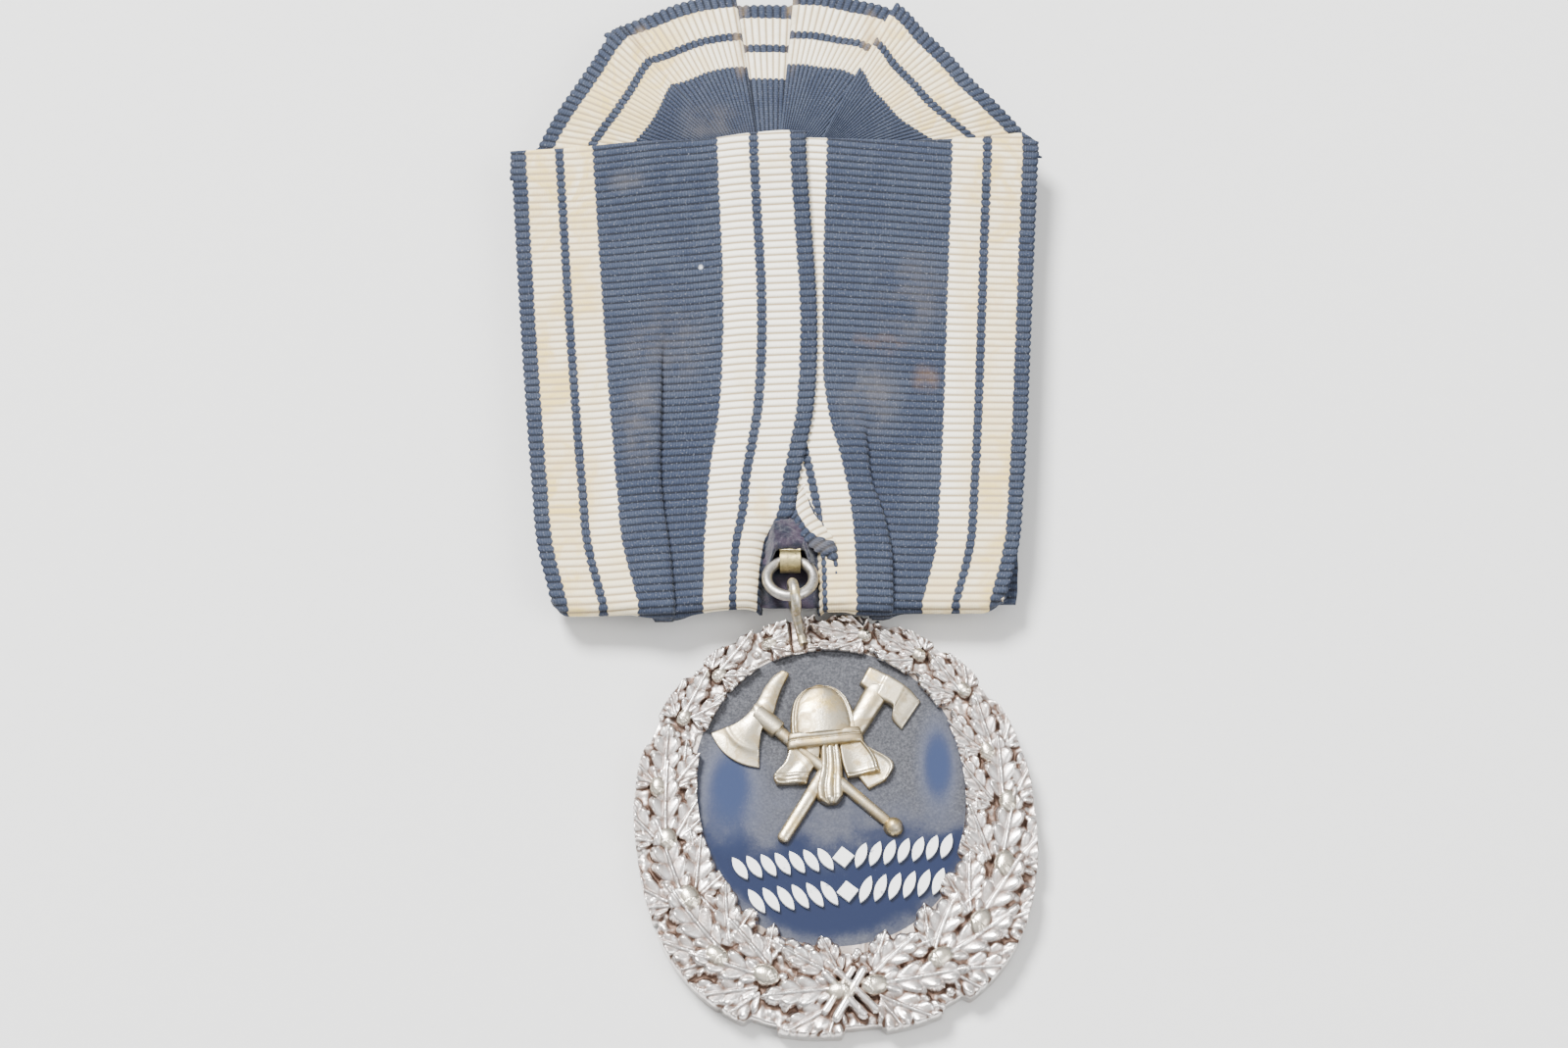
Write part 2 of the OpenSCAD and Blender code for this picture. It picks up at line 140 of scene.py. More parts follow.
def gridNormals(grid):
    # unit cross product of the grid's column and row directions
    alongColumns, alongRows = np.gradient(grid, axis=1), np.gradient(grid, axis=0)
    normal = np.cross(alongColumns, alongRows)
    return normal / np.maximum(np.linalg.norm(normal, axis=-1, keepdims=True), 1e-9)


def shellFaces(rows, columns, first=0):
    # a front grid, a back grid behind it and four strips that join their edges
    n = rows * columns
    front = gridFaces(rows, columns, first)
    back = gridFaces(rows, columns, first + n, turnOver=True)
    ring = np.concatenate([np.arange(columns - 1), np.arange(rows - 1) * columns + columns - 1,
                           n - 1 - np.arange(columns - 1), n - columns - np.arange(rows - 1) * columns])
    after = np.roll(ring, -1)
    edge = np.stack([ring + n, after + n, after, ring], axis=-1) + first
    return [front, back, edge]


def shellPoints(front, thickness):
    back = front - gridNormals(front) * thickness
    return np.concatenate([front.reshape(-1, 3), back.reshape(-1, 3)])


def addPiece(mesh, material, body, replaced=()):
    piece = bpy.data.objects.new(mesh.name, mesh)
    bpy.context.scene.collection.objects.link(piece)
    mesh.materials.clear()
    mesh.materials.append(material)
    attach(piece, body)
    if replaced:
        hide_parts(*replaced)
    return piece


def joinParts(parts):
    # parts are (points, faces, weave) and come back as one set
    points, faces, weave, first = [], [], [], 0
    for p, f, w in parts:
        points.append(p)
        faces += [np.asarray(x) + first for x in f]
        weave.append(w)
        first += len(p)
    return np.concatenate(points), faces, np.concatenate(weave)


def tubePart(path, radius, sides, weaveAt=(0, 0)):
    # a round section carried along a path, closed with a point at each end
    path = np.asarray(path, float)
    radius = np.broadcast_to(np.asarray(radius, float), (len(path),))
    ahead = np.gradient(path, axis=0)
    ahead /= np.linalg.norm(ahead, axis=1, keepdims=True)
    side = np.cross(ahead, [0.13, 0.21, 0.97])
    side /= np.linalg.norm(side, axis=1, keepdims=True)
    over = np.cross(ahead, side)
    turn = np.linspace(0, 2 * np.pi, sides, endpoint=False)[None, :, None]
    around = np.cos(turn) * side[:, None] + np.sin(turn) * over[:, None]
    rings = path[:, None] + radius[:, None, None] * around
    ends = np.stack([path[0] - ahead[0] * radius[0] * 0.7, path[-1] + ahead[-1] * radius[-1] * 0.7])
    points = np.concatenate([rings.reshape(-1, 3), ends])
    n = len(path) * sides
    j = np.arange(sides)
    capA = np.stack([(j + 1) % sides, j, np.full(sides, n)], axis=-1)
    capB = np.stack([j, (j + 1) % sides, np.full(sides, n + 1)], axis=-1) + [n - sides, n - sides, 0]
    faces = [gridFaces(len(path), sides, closeColumns=True), capA, capB]
    return points, faces, np.tile(np.asarray(weaveAt, float), (len(points), 1))


def addNode(tree, kind, inputs=None, **settings):
    node = tree.nodes.new(kind)
    for key, value in settings.items():
        setattr(node, key, value)
    for key, value in (inputs or {}).items():
        feed(tree, node.inputs[key], value)
    return node


def feed(tree, socket, value):
    if isinstance(value, bpy.types.NodeSocket):
        tree.links.new(value, socket)
    else:
        socket.default_value = value


def calc(tree, operation, a, b=0.0, c=0.0):
    node = tree.nodes.new("ShaderNodeMath")
    node.operation = operation
    for socket, value in zip(node.inputs, (a, b, c)):
        feed(tree, socket, value)
    return node.outputs[0]


def mapRange(tree, value, low, high, toLow=0.0, toHigh=1.0):
    node = addNode(tree, "ShaderNodeMapRange", interpolation_type="SMOOTHSTEP")
    for socket, given in zip(node.inputs, (value, low, high, toLow, toHigh)):
        feed(tree, socket, given)
    return node.outputs[0]


def mixColour(tree, factor, a, b, blend="MIX"):
    node = addNode(tree, "ShaderNodeMix", data_type="RGBA", blend_type=blend)
    for key, value in ((0, factor), (6, a), (7, b)):
        feed(tree, node.inputs[key], (*value, 1) if isinstance(value, tuple) and len(value) == 3 else value)
    return node.outputs[2]


def noise(tree, vector, scale, detail=3.0, roughness=0.55, kind="Fac"):
    node = addNode(tree, "ShaderNodeTexNoise",
                   {"Vector": vector, "Scale": scale, "Detail": detail, "Roughness": roughness})
    return node.outputs[kind]


def makeGroup(name, inputs, outputs, build):
    # inputs are (name, kind, default), outputs (name, kind); build gets the tree and both ends
    tree = bpy.data.node_groups.new(name, "ShaderNodeTree")
    for title, kind, default in inputs:
        socket = tree.interface.new_socket(title, in_out="INPUT", socket_type="NodeSocket" + kind)
        if default is not None:
            socket.default_value = default
    for title, kind in outputs:
        tree.interface.new_socket(title, in_out="OUTPUT", socket_type="NodeSocket" + kind)
    start, end = tree.nodes.new("NodeGroupInput"), tree.nodes.new("NodeGroupOutput")
    for title, value in build(tree, start.outputs).items():
        feed(tree, end.inputs[title], value)
    return tree


def useGroup(tree, group, inputs):
    return addNode(tree, "ShaderNodeGroup", inputs, node_tree=group).outputs


def newMaterial(name, settings):
    # settings go straight to the Principled shader's own sockets
    material = bpy.data.materials.new(name)
    material.use_nodes = True
    tree = material.node_tree
    tree.nodes.clear()
    shader = addNode(tree, "ShaderNodeBsdfPrincipled", settings)
    output = tree.nodes.new("ShaderNodeOutputMaterial")
    tree.links.new(shader.outputs[0], output.inputs[0])
    return material, tree, shader


def addBump(tree, shader, height, distance, strength=1.0):
    bump = addNode(tree, "ShaderNodeBump", {"Height": height, "Distance": distance, "Strength": strength})
    tree.links.new(bump.outputs[0], shader.inputs["Normal"])


def objectPlace(tree):
    return tree.nodes.new("ShaderNodeTexCoord").outputs["Object"]


def weavePlace(tree):
    return addNode(tree, "ShaderNodeUVMap", uv_map="weave").outputs[0]


def splitPlace(tree, vector):
    return addNode(tree, "ShaderNodeSeparateXYZ", {0: vector}).outputs


def buildStripes(tree, given):
    # masks of the woven stripes from the place across (x) and along (y) the ribbon, in mm:
    # the dark ones swell on every rib, so their borders are scalloped
    s, t, _ = splitPlace(tree, given["Weave"])
    arch = calc(tree, "ABSOLUTE", calc(tree, "SINE", calc(tree, "MULTIPLY", t, math.pi / ribbon["pitch"])))
    fray = calc(tree, "MULTIPLY_ADD", noise(tree, given["Weave"], 2.2, 2.0), 0.24, -0.12)
    place = calc(tree, "ADD", calc(tree, "ABSOLUTE", s), fray)
    swell = calc(tree, "MULTIPLY_ADD", arch, 0.15, -0.08)

    def above(edge, sign):
        level = calc(tree, "MULTIPLY_ADD", swell, sign, edge)
        rise = calc(tree, "DIVIDE", calc(tree, "SUBTRACT", place, level), 0.06)
        return addNode(tree, "ShaderNodeClamp", {0: calc(tree, "ADD", rise, 0.5)}).outputs[0]

    field = calc(tree, "SUBTRACT", 1.0, above(ribbon["field"], 1.0))
    line = calc(tree, "MULTIPLY", above(ribbon["line"][0], -1.0),
                calc(tree, "SUBTRACT", 1.0, above(ribbon["line"][1], 1.0)))
    edge = above(ribbon["selvedge"], -1.0)
    dark = calc(tree, "MAXIMUM", calc(tree, "MAXIMUM", field, line), edge)
    sway = calc(tree, "MULTIPLY", noise(tree, given["Weave"], 1.3, 2.0), 3.0)
    yarn = calc(tree, "MULTIPLY_ADD", s, math.pi / ribbon["yarn"], sway)
    warp = calc(tree, "ABSOLUTE", calc(tree, "SINE", yarn))
    fleck = noise(tree, given["Weave"], 5.5, 4.0, 0.7)
    return {"Dark": dark, "Arch": arch, "Warp": warp, "Fleck": fleck}


def buildBlotch(tree, given):
    # soft patches from one noise pushed about by another
    shift = noise(tree, given["Place"], calc(tree, "MULTIPLY", given["Scale"], 0.6), 2.0, 0.5, "Color")
    moved = addNode(tree, "ShaderNodeVectorMath", {0: given["Place"], 1: shift}, operation="MULTIPLY_ADD")
    moved.inputs[2].default_value = (0.0006, 0.0006, 0.0006)
    patch = noise(tree, moved.outputs[0], given["Scale"], 5.0, 0.6)
    spread = calc(tree, "MULTIPLY", given["Softness"], 0.5)
    low = calc(tree, "SUBTRACT", given["Level"], spread)
    return {"Mask": mapRange(tree, patch, low, calc(tree, "ADD", given["Level"], spread))}


ribbon = {
    "pitch": 0.65,          # from rib to rib
    "ribHeight": 0.11,
    "thickness": 0.24,
    "rowsPerRib": 6,
    "columns": 80,
    "half": 12.37,          # half the ribbon's width
    "field": 5.2,           # half the dark middle stripe
    "line": (7.8, 8.52),    # the thin dark stripe
    "selvedge": 11.12,      # where the dark edge starts
    "yarn": 0.21,           # from thread to thread across the ribs
    "cream": (0.93, 0.89, 0.78),
    # painted shade: colour of the cream stripes in the grooves between the ribs
    "creamGrooveShade": (0.34, 0.26, 0.15),
    "yellowed": (0.74, 0.56, 0.21),
    "dark": (0.026, 0.036, 0.066),
    "darkWorn": (0.040, 0.052, 0.084),
    # painted shade: colour of the dark stripes in the grooves between the ribs
    "darkGrooveShade": (0.006, 0.008, 0.014),
    "darkFleck": (0.19, 0.20, 0.235),
}

stripes = makeGroup("wovenStripes", [("Weave", "Vector", None)],
                    [("Dark", "Float"), ("Arch", "Float"), ("Warp", "Float"), ("Fleck", "Float")],
                    buildStripes)
blotch = makeGroup("softPatches",
                   [("Place", "Vector", None), ("Scale", "Float", 300.0),
                    ("Level", "Float", 0.5), ("Softness", "Float", 0.2)],
                   [("Mask", "Float")], buildBlotch)


def ellipseMask(tree, place, x, y, across, along):
    # 1 in the middle of a spot at (x, y) mm, fading to 0 at its rim
    px, py, _ = splitPlace(tree, place)
    dx = calc(tree, "MULTIPLY_ADD", px, 1 / (across * mm), -x / across)
    dy = calc(tree, "MULTIPLY_ADD", py, 1 / (along * mm), -y / along)
    square = calc(tree, "ADD", calc(tree, "MULTIPLY", dx, dx), calc(tree, "MULTIPLY", dy, dy))
    return mapRange(tree, calc(tree, "SQRT", square), 0.2, 1.0, 1.0, 0.0)


def spotMask(tree, place, x, y, across, along, strength):
    # an uneven spot, at most strength
    uneven = mapRange(tree, noise(tree, place, 420.0, 6.0, 0.65), 0.34, 0.66)
    inside = ellipseMask(tree, place, x, y, across, along)
    return calc(tree, "MULTIPLY", calc(tree, "MULTIPLY", inside, uneven), strength)


def ribbonMaterial(name, yellowAt, yellowSpots, stainsAndShade):
    # yellowAt(tree, place) gives where the cream has yellowed all over, yellowSpots where it is worse;
    # the last list holds stains and painted shade along folds, and discolours both colours. Spots are (x,
    # y, half width, half height, strength[, tint])
    material, tree, shader = newMaterial(name, {"Roughness": 0.82, "Sheen Weight": 0.07,
                                                "Sheen Roughness": 0.5, "Specular IOR Level": 0.25})
    weave, place = weavePlace(tree), objectPlace(tree)
    cloth = useGroup(tree, stripes, {"Weave": weave})
    # painted shade: the colour darkens into the grooves between the ribs and, through thread, between the
    # warp threads
    ribShading = mapRange(tree, cloth["Arch"], 0.05, 0.90)
    thread = calc(tree, "MULTIPLY_ADD", cloth["Warp"], 0.5, 0.5)
    lit = calc(tree, "MULTIPLY", ribShading, thread)
    soil = useGroup(tree, blotch, {"Place": place, "Scale": 260.0, "Level": 0.52, "Softness": 0.3})["Mask"]
    yellow = calc(tree, "MULTIPLY", yellowAt(tree, place), calc(tree, "MULTIPLY_ADD", soil, 0.6, 0.4))
    for spot in yellowSpots:
        yellow = calc(tree, "MAXIMUM", yellow, spotMask(tree, place, *spot))
    pale = mixColour(tree, yellow, ribbon["cream"], ribbon["yellowed"])
    # painted shade in the grooves, for the yellowed cream too
    pale = mixColour(tree, ribShading, mixColour(tree, yellow, ribbon["creamGrooveShade"], (0.40, 0.31, 0.19)), pale)
    speck = mapRange(tree, cloth["Fleck"], 0.55, 0.70)
    worn = mixColour(tree, soil, ribbon["dark"], ribbon["darkWorn"])
    # painted shade in the grooves and between the threads of the dark stripes
    dark = mixColour(tree, lit, ribbon["darkGrooveShade"], worn)
    dark = mixColour(tree, calc(tree, "MULTIPLY", speck, 0.55), dark, ribbon["darkFleck"])
    colour = mixColour(tree, cloth["Dark"], pale, dark)
    # stains, and painted shade along folds where it is given
    for *spot, tint in stainsAndShade:
        colour = mixColour(tree, spotMask(tree, place, *spot), colour, tint)
    tree.links.new(colour, shader.inputs["Base Color"])
    height = calc(tree, "MULTIPLY_ADD", cloth["Warp"], 0.6, calc(tree, "MULTIPLY", cloth["Fleck"], 0.7))
    addBump(tree, shader, height, 0.00005, 0.6)
    return material


def ribbonRelief(front, across, along):
    # the surface moved out along its normal by ribHeight * |sin(pi t / pitch)|^0.75 on every rib,
    # and the loops of the edge pushed sideways by the same arch
    arch = np.abs(np.sin(np.pi * along / ribbon["pitch"]))
    rib = np.floor(along / ribbon["pitch"])
    uneven = 1 + 0.14 * np.sin(12.9 * rib) + 0.10 * ripple(across, along, 3, 7)
    edge = smoothStep(ribbon["half"] - 0.5, ribbon["half"], np.abs(across))
    sideways = np.gradient(front, axis=1)
    sideways /= np.maximum(np.linalg.norm(sideways, axis=-1, keepdims=True), 1e-9)
    out = ribbon["ribHeight"] * arch ** 0.75 * uneven * (1 - 0.3 * edge)
    loops = np.sign(across) * edge * (0.16 * arch - 0.04)
    return front + gridNormals(front) * out[..., None] + sideways * loops[..., None]


def ribbonPart(front, across, along, thickness=None):
    front = ribbonRelief(front, across, along)
    points = shellPoints(front, thickness or ribbon["thickness"])
    weave = np.stack([across, along], axis=-1).reshape(-1, 2)
    return points, shellFaces(*front.shape[:2]), np.concatenate([weave, weave])


def foldOver(y, z, edge, radius, sign):
    # what lies past the edge turns down round a half circle and runs back underneath
    past = np.maximum((y - edge) * sign, 0)
    angle = np.minimum(past / radius, np.pi)
    tail = np.maximum(past - np.pi * radius, 0)
    folded = edge + sign * (radius * np.sin(angle) - tail)
    return np.where(past > 0, folded, y), z - radius * (1 - np.cos(angle))


def pleatAcross(a, width, radius):
    # ribbon place a from a fold line, with the next `width` of ribbon tucked under it:
    # the way across goes forward, back and forward again, and the layers lie on each other
    turned = logCosh((a - width / 2) / radius) - logCosh(a / radius)
    over = (1 - np.tanh(a / radius)) / 2
    between = (1 - np.tanh((a - width / 2) / radius)) / 2
    fall = np.exp(-(np.maximum(0, -a - width / 2) / 3.4) ** 2)
    return a - width / 2 + radius * turned, smoothStep(0, 1.4, width) * fall * (0.5 * over + 0.1 * between)


def ribbonGrid(low, high, slope):
    # rows follow the ribs; slope(s, t) is how steeply a rib climbs to the right
    rows = int((high - low) / ribbon["pitch"] * ribbon["rowsPerRib"])
    s, t = np.meshgrid(np.linspace(-ribbon["half"], ribbon["half"], ribbon["columns"]),
                       low + np.arange(rows) * ribbon["pitch"] / ribbon["rowsPerRib"])
    climb = np.cumsum(slope(s, t), axis=1) * (s[0, 1] - s[0, 0])
    return s, t, t + climb - climb[:, [ribbon["columns"] // 2]]


panel = {
    "z": 3.8,                   # face of the ribbon where it lies flat
    "topRadius": 0.3,
    "footRadius": 0.82,
    "topLift": 0.45,            # the fan's pleats raise the top fold this much
    "overlapLift": 0.45,        # the left panel rises over the right one
    "foldRadius": 0.2,
    "wave": 0.10,
}


turnedEdge = {
    # the dark edge and the line it is turned out along, from the foot up, as (x, y, z)
    "edge": [(3.3, -9.4, 3.1), (3.9, -8.2, 3.5), (3.95, -6.9, 3.9), (3.3, -6.15, 4.15), (2.5, -5.65, 4.25),
             (1.8, -4.9, 4.25), (1.15, -3.7, 4.15), (0.6, -2.4, 4.0), (0.9, -1.0, 3.7)],
    "line": [(3.7, -9.6, 3.3), (4.2, -8.6, 3.75), (4.3, -7.2, 4.0), (4.25, -5.9, 4.15), (4.05, -4.9, 4.2),
             (3.5, -4.0, 4.15), (2.75, -2.9, 4.05), (2.2, -1.6, 3.9), (1.75, 0.4, 3.75)],
    "shown": [(0, 1.25), (0.45, 1.35), (0.62, 3.6), (1, 4.2)],      # how much of the ribbon shows
    "crown": 0.34,
}


def turnedPart():
    edge, line = smoothPath(turnedEdge["edge"], 110), smoothPath(turnedEdge["line"], 110)
    v = np.linspace(0, 1, 26)[None, :]
    u = np.linspace(0, 1, 110)[:, None]
    grid = edge[:, None] * (1 - v[..., None]) + line[:, None] * v[..., None]
    crown = turnedEdge["crown"] * np.sin(np.pi * v)
    grid[..., 2] += crown + 0.07 * ripple(grid[..., 0], grid[..., 1], 2.2, 8)
    shown = throughPoints(u, *zip(*turnedEdge["shown"]))
    across, along = np.broadcast_arrays(v * shown - ribbon["half"], u * 10.6)
    return ribbonPart(grid, across, along, 0.2)


def foldRadius(width):
    # soft where little ribbon is tucked away, sharp where more is
    return panel["foldRadius"] + 0.9 * (1 - smoothStep(0, 1.5, width))


def leftPanel():
    s, t, y = ribbonGrid(-14.2, 34.5, lambda s, t: (0.05 + 0.06 * np.exp(-(s / 5.5) ** 4))
                         * (0.55 + 0.45 * smoothStep(-5, 30, t)))
    outer = throughPoints(y, [-10.3, -9, -5, 0, 13, 31], [-18.4, -18.75, -19.75, -20.3, -21.5, -22.9])
    fold = throughPoints(y, [-10, -5, 0, 5, 11, 31], [-8.6, -9.1, -9.8, -9.9, -9.8, -9.8])
    navyEnd = throughPoints(y, [-10, -7, -5, -2, 0, 7, 13, 31],
                            [-6.45, -6.4, -6.4, -6.17, -6.1, -5.25, -5, -5.6])
    k = throughPoints(y, [-9, -7, -5, -2, 0, 31], [0.8, 0.82, 0.87, 0.97, 1.0, 1.03])
    kOuter = 0.95
    f = (fold - outer) / kOuter - ribbon["half"]
    width = ribbon["field"] - (navyEnd - fold) / k - f
    dx, layers = pleatAcross(s - f, width, foldRadius(width))
    x = fold + dx * (kOuter + (k - kOuter) * smoothStep(0, np.maximum(width, 0.5), s - f))
    curl = smoothStep(-2.2, -5, y) * np.maximum(0, s - 8.9) ** 2
    x = x - 0.1 * curl
    z = (panel["z"] + layers + panel["topLift"] * smoothStep(22, 30, y) - 0.12 * curl
         + panel["overlapLift"] * smoothStep(-7.5, -3, x) + panel["wave"] * ripple(x, y, 15, 3))
    top = throughPoints(x, [-22.9, -16, -5.6, 0.4, 1.8], [30.3, 30.9, 31.5, 32, 32])
    foot = (-9.95 - 0.35 * np.exp(-((x + 9.7) / 1.9) ** 4) + 0.45 * np.exp(-((x + 3.0) / 4) ** 4)
            + 1.1 * smoothStep(-17.3, -18.9, x))
    y, z = foldOver(y, z, top, panel["topRadius"], 1)
    y, z = foldOver(y, z, foot, panel["footRadius"], -1)
    return ribbonPart(np.stack([x, y, z], axis=-1), s, t)


def rightPanel():
    s, t, y = ribbonGrid(-14.2, 34.5, lambda s, t: -(0.03 + 0.07 * np.exp(-(s / 5.5) ** 4))
                         * (0.2 + 0.8 * smoothStep(-5, 30, t)))
    outer = throughPoints(y, [-10, -5, 0, 5, 13, 31], [17.5, 18.8, 19.3, 19.7, 20.2, 21.3])
    fold = throughPoints(y, [-10, -5.6, -2.7, 0.5, 3.5, 12, 31], [8.8, 8.7, 8.2, 7.2, 6.9, 6.9, 6.9])
    navyStart = throughPoints(y, [-10, -7, -5, -2, 0, 3, 5, 7, 10, 13, 31],
                              [5.8, 5.75, 5.67, 5.42, 5.1, 4.5, 3.95, 3.6, 3.25, 3.2, 3.6])
    k = throughPoints(y, [-10, 0, 13, 31], [0.9, 0.93, 0.96, 1.0])
    f = (fold - navyStart) / k - ribbon["field"]
    width = ribbon["half"] - (outer - fold) / k - f
    dx, layers = pleatAcross(s - f, width, foldRadius(width))
    x = fold + dx * k
    turned = smoothStep(-1.2, -3.4, y) * np.maximum(0, -8.1 - s)
    x = x + 0.9 * k * turned
    z = (panel["z"] + layers + panel["topLift"] * smoothStep(22, 30, y) - 0.16 * turned
         + panel["wave"] * ripple(x, y, 15, 4))
    top = throughPoints(x, [-3, 1.8, 14.2, 18.5, 20.2, 21.3], [31.7, 31.6, 31.5, 31.9, 32, 31.3])
    foot = -9.65 - 0.45 * np.exp(-((x - 7.1) / 1.8) ** 4) + 1.3 * smoothStep(15.8, 18.4, x)
    y, z = foldOver(y, z, top, panel["topRadius"], 1)
    y, z = foldOver(y, z, foot, panel["footRadius"], -1)
    return joinParts([ribbonPart(np.stack([x, y, z], axis=-1), s, t), turnedPart()])


def panelYellow(tree, place):
    x, y, _ = splitPlace(tree, place)
    sides = mapRange(tree, calc(tree, "ABSOLUTE", x), 0.0125, 0.0165)
    foot = mapRange(tree, y, 0.002, -0.008)
    return calc(tree, "MAXIMUM", sides, calc(tree, "MULTIPLY", foot, 0.8))


# rust and dust are stains; the third colour is painted shade along the fan's fold edges
rust, dust, foldShadeBrown = (0.20, 0.12, 0.065), (0.15, 0.135, 0.125), (0.36, 0.25, 0.12)
panelCloth = ribbonMaterial(
    "ribbedRibbon", panelYellow,
    [(-19.4, 14.0, 1.8, 7.0, 0.9), (-20.4, 26.0, 1.8, 5.0, 0.8), (-17.6, 12.0, 1.2, 3.0, 0.8),
     (-17.0, -1.0, 2.2, 4.0, 0.9), (-19.2, 3.0, 1.6, 4.4, 0.9), (17.4, -7.0, 2.4, 2.4, 0.9),
     (-17.2, -8.0, 2.6, 2.4, 1.0), (-4.4, -8.0, 3.8, 2.2, 0.9), (-1.4, 29.3, 3.0, 2.2, 0.7),
     (-1.9, -2.0, 1.8, 3.4, 0.7), (18.4, 20.0, 1.6, 6.0, 0.6), (-5.4, 18.0, 1.4, 5.0, 0.45),
     (-3.0, 10.0, 2.0, 5.0, 0.35), (18.6, 3.0, 1.8, 5.0, 0.7), (14.8, -6.0, 2.6, 3.0, 0.7),
     (5.0, -8.4, 2.4, 2.4, 0.8), (-19.8, -5.5, 1.6, 3.4, 0.9)],
    [(8.4, 12.8, 2.2, 1.3, 0.35, rust), (11.6, 9.7, 1.6, 1.8, 0.28, rust), (6.4, 13.2, 1.0, 1.0, 0.3, rust),
     (-13.1, 27.7, 2.2, 1.6, 0.2, dust), (7.0, 8.0, 3.4, 4.6, 0.25, dust),
     (-11.6, 5.4, 2.4, 5.5, 0.28, dust), (-9.6, 13, 5, 6, 0.2, dust), (10.5, 17, 4, 6, 0.2, dust),
     (-6.9, 19.9, 0.25, 0.3, 1.0, (0.7, 0.72, 0.75)),
     (2.9, -5.4, 1.8, 0.9, 0.4, dust)])

leftPiece = addPiece(buildMesh("ribbonLeft", *leftPanel()), panelCloth, "bar",
                     ["ribbon_left_panel"])
rightPiece = addPiece(buildMesh("ribbonRight", *rightPanel()), panelCloth, "bar",
                      ["ribbon_right_panel", "ribbon_turned_flap"])
print("ribbon panels made")


def mountPlace(name):
    found = [m for m in frame["record"]["mounts"] if m["name"] == name][0]
    return np.array(found["pos_m"]) / mm


medal = {
    "middle": mountPlace("medal_back"),     # middle of the medal's widest line
    "turn": math.radians(6.5),
    "plateTop": nodeBox("medal_base_plate")[1][2],
    "outline": (15.7, 16.75, 17.5, 2.05, 2.45),     # half width, up, down, fullness up and down
    "field": (10.9, 12.3, 12.3, 2.1, 2.1),
    "fieldUp": 1.8,
}


def toWorld(p, q, z):
    # medal coordinates, p to the medal's right and q up from its widest line, turned into place
    c, s = math.cos(medal["turn"]), math.sin(medal["turn"])
    x, y = medal["middle"][0] + c * p - s * q, medal["middle"][1] + s * p + c * q
    return np.stack(np.broadcast_arrays(x, y, z), axis=-1)


def superOval(t, halfWidth, up, down, fullUp, fullDown):
    high = np.sin(t) >= 0
    full = np.where(high, fullUp, fullDown)
    x = halfWidth * np.sign(np.cos(t)) * np.abs(np.cos(t)) ** (2 / full)
    y = np.where(high, up, down) * np.sign(np.sin(t)) * np.abs(np.sin(t)) ** (2 / full)
    return x, y


wreath = {
    "columns": 900,         # along each branch
    "rows": 70,             # across it
    "clusters": 9,
    "steps": 400,           # places along a branch where a cluster can stand
    "samples": 90,          # across it, to find where the leaves end
    "height": 1.4,
    "floor": 0.42,          # level between the leaves
    "notchAt": -1.15,       # where the stem comes through, left of the middle
    "footZ": 0.06,
    "seed": 11,
}


def branchLines(side, count):
    # inner and outer edge of one branch from the foot to the top, evenly spaced along its middle
    t = np.linspace(-np.pi / 2, np.pi / 2, 3000)
    inner = np.stack(superOval(t, *medal["field"]), axis=-1) + [0, medal["fieldUp"]]
    outer = np.stack(superOval(t, *medal["outline"]), axis=-1)
    middle = (inner + outer) / 2
    far = np.concatenate([[0], np.cumsum(np.linalg.norm(np.diff(middle, axis=0), axis=1))])
    even = np.linspace(0, far[-1], count)
    lines = [np.stack([np.interp(even, far, line[:, k]) for k in (0, 1)], axis=-1)
             for line in (inner, outer)]
    return [line * [side, 1] for line in lines]


def placeLeaves(dice):
    # per branch a row of clusters: one leaf along the branch, one to each side, two small ones
    leaves, acorns, berries = [], [], []
    for side in (-1, 1):
        inner, outer = branchLines(side, wreath["steps"])
        middle, width = (inner + outer) / 2, np.linalg.norm(outer - inner, axis=1)
        ahead = np.gradient(middle, axis=0)
        heading = np.arctan2(ahead[:, 1], ahead[:, 0])
        for k in range(wreath["clusters"]):
            far = (k + 0.35 + 0.12 * dice.uniform(-1, 1)) / (wreath["clusters"] + 0.1)
            i = int(far * (wreath["steps"] - 1))
            size = np.clip(width[i] / 5.0, 0.74, 1.25)
            out = np.array([math.sin(heading[i]), -math.cos(heading[i])]) * side
            start, way = middle[i], np.array([math.cos(heading[i]), math.sin(heading[i])])
            for turn, long, wide, shift, level in ((0, 5.4, 1.25, 0.0, 0.42), (34, 4.3, 1.10, 0.75, 0.26),
                                                   (-34, 4.3, 1.10, -0.75, 0.28), (66, 2.9, 0.9, 1.0, 0.16),
                                                   (-66, 2.9, 0.9, -1.0, 0.16), (14, 4.6, 1.0, 1.45, 0.10),
                                                   (-14, 4.6, 1.0, -1.45, 0.12)):
                stray = dice.uniform(-1, 1, 5)
                leaves.append({
                    "at": start + out * shift * size * 0.9 + way * stray[0] * 0.25,
                    "turn": heading[i] - side * math.radians(turn + 7 * stray[1]),
                    "length": long * size * (1 + 0.10 * stray[2]),
                    "wide": wide * size * (1 + 0.12 * stray[3]),
                    "level": level + 0.05 * stray[4], "bend": 0.10 * stray[1] + 0.04 * np.sign(turn),
                })
            nut = start + out * dice.uniform(-0.5, 0.5) * size
            acorns.append((nut, heading[i], 0.92 * size, 0.68 * size))
            for _ in range(4):
                spread = dice.uniform(-1, 1, 2)
                berries.append((start + out * spread[0] * width[i] * 0.44 + way * spread[1] * 2.6,
                                0.24 * size + 0.10 * dice.uniform()))
    return leaves, acorns, berries


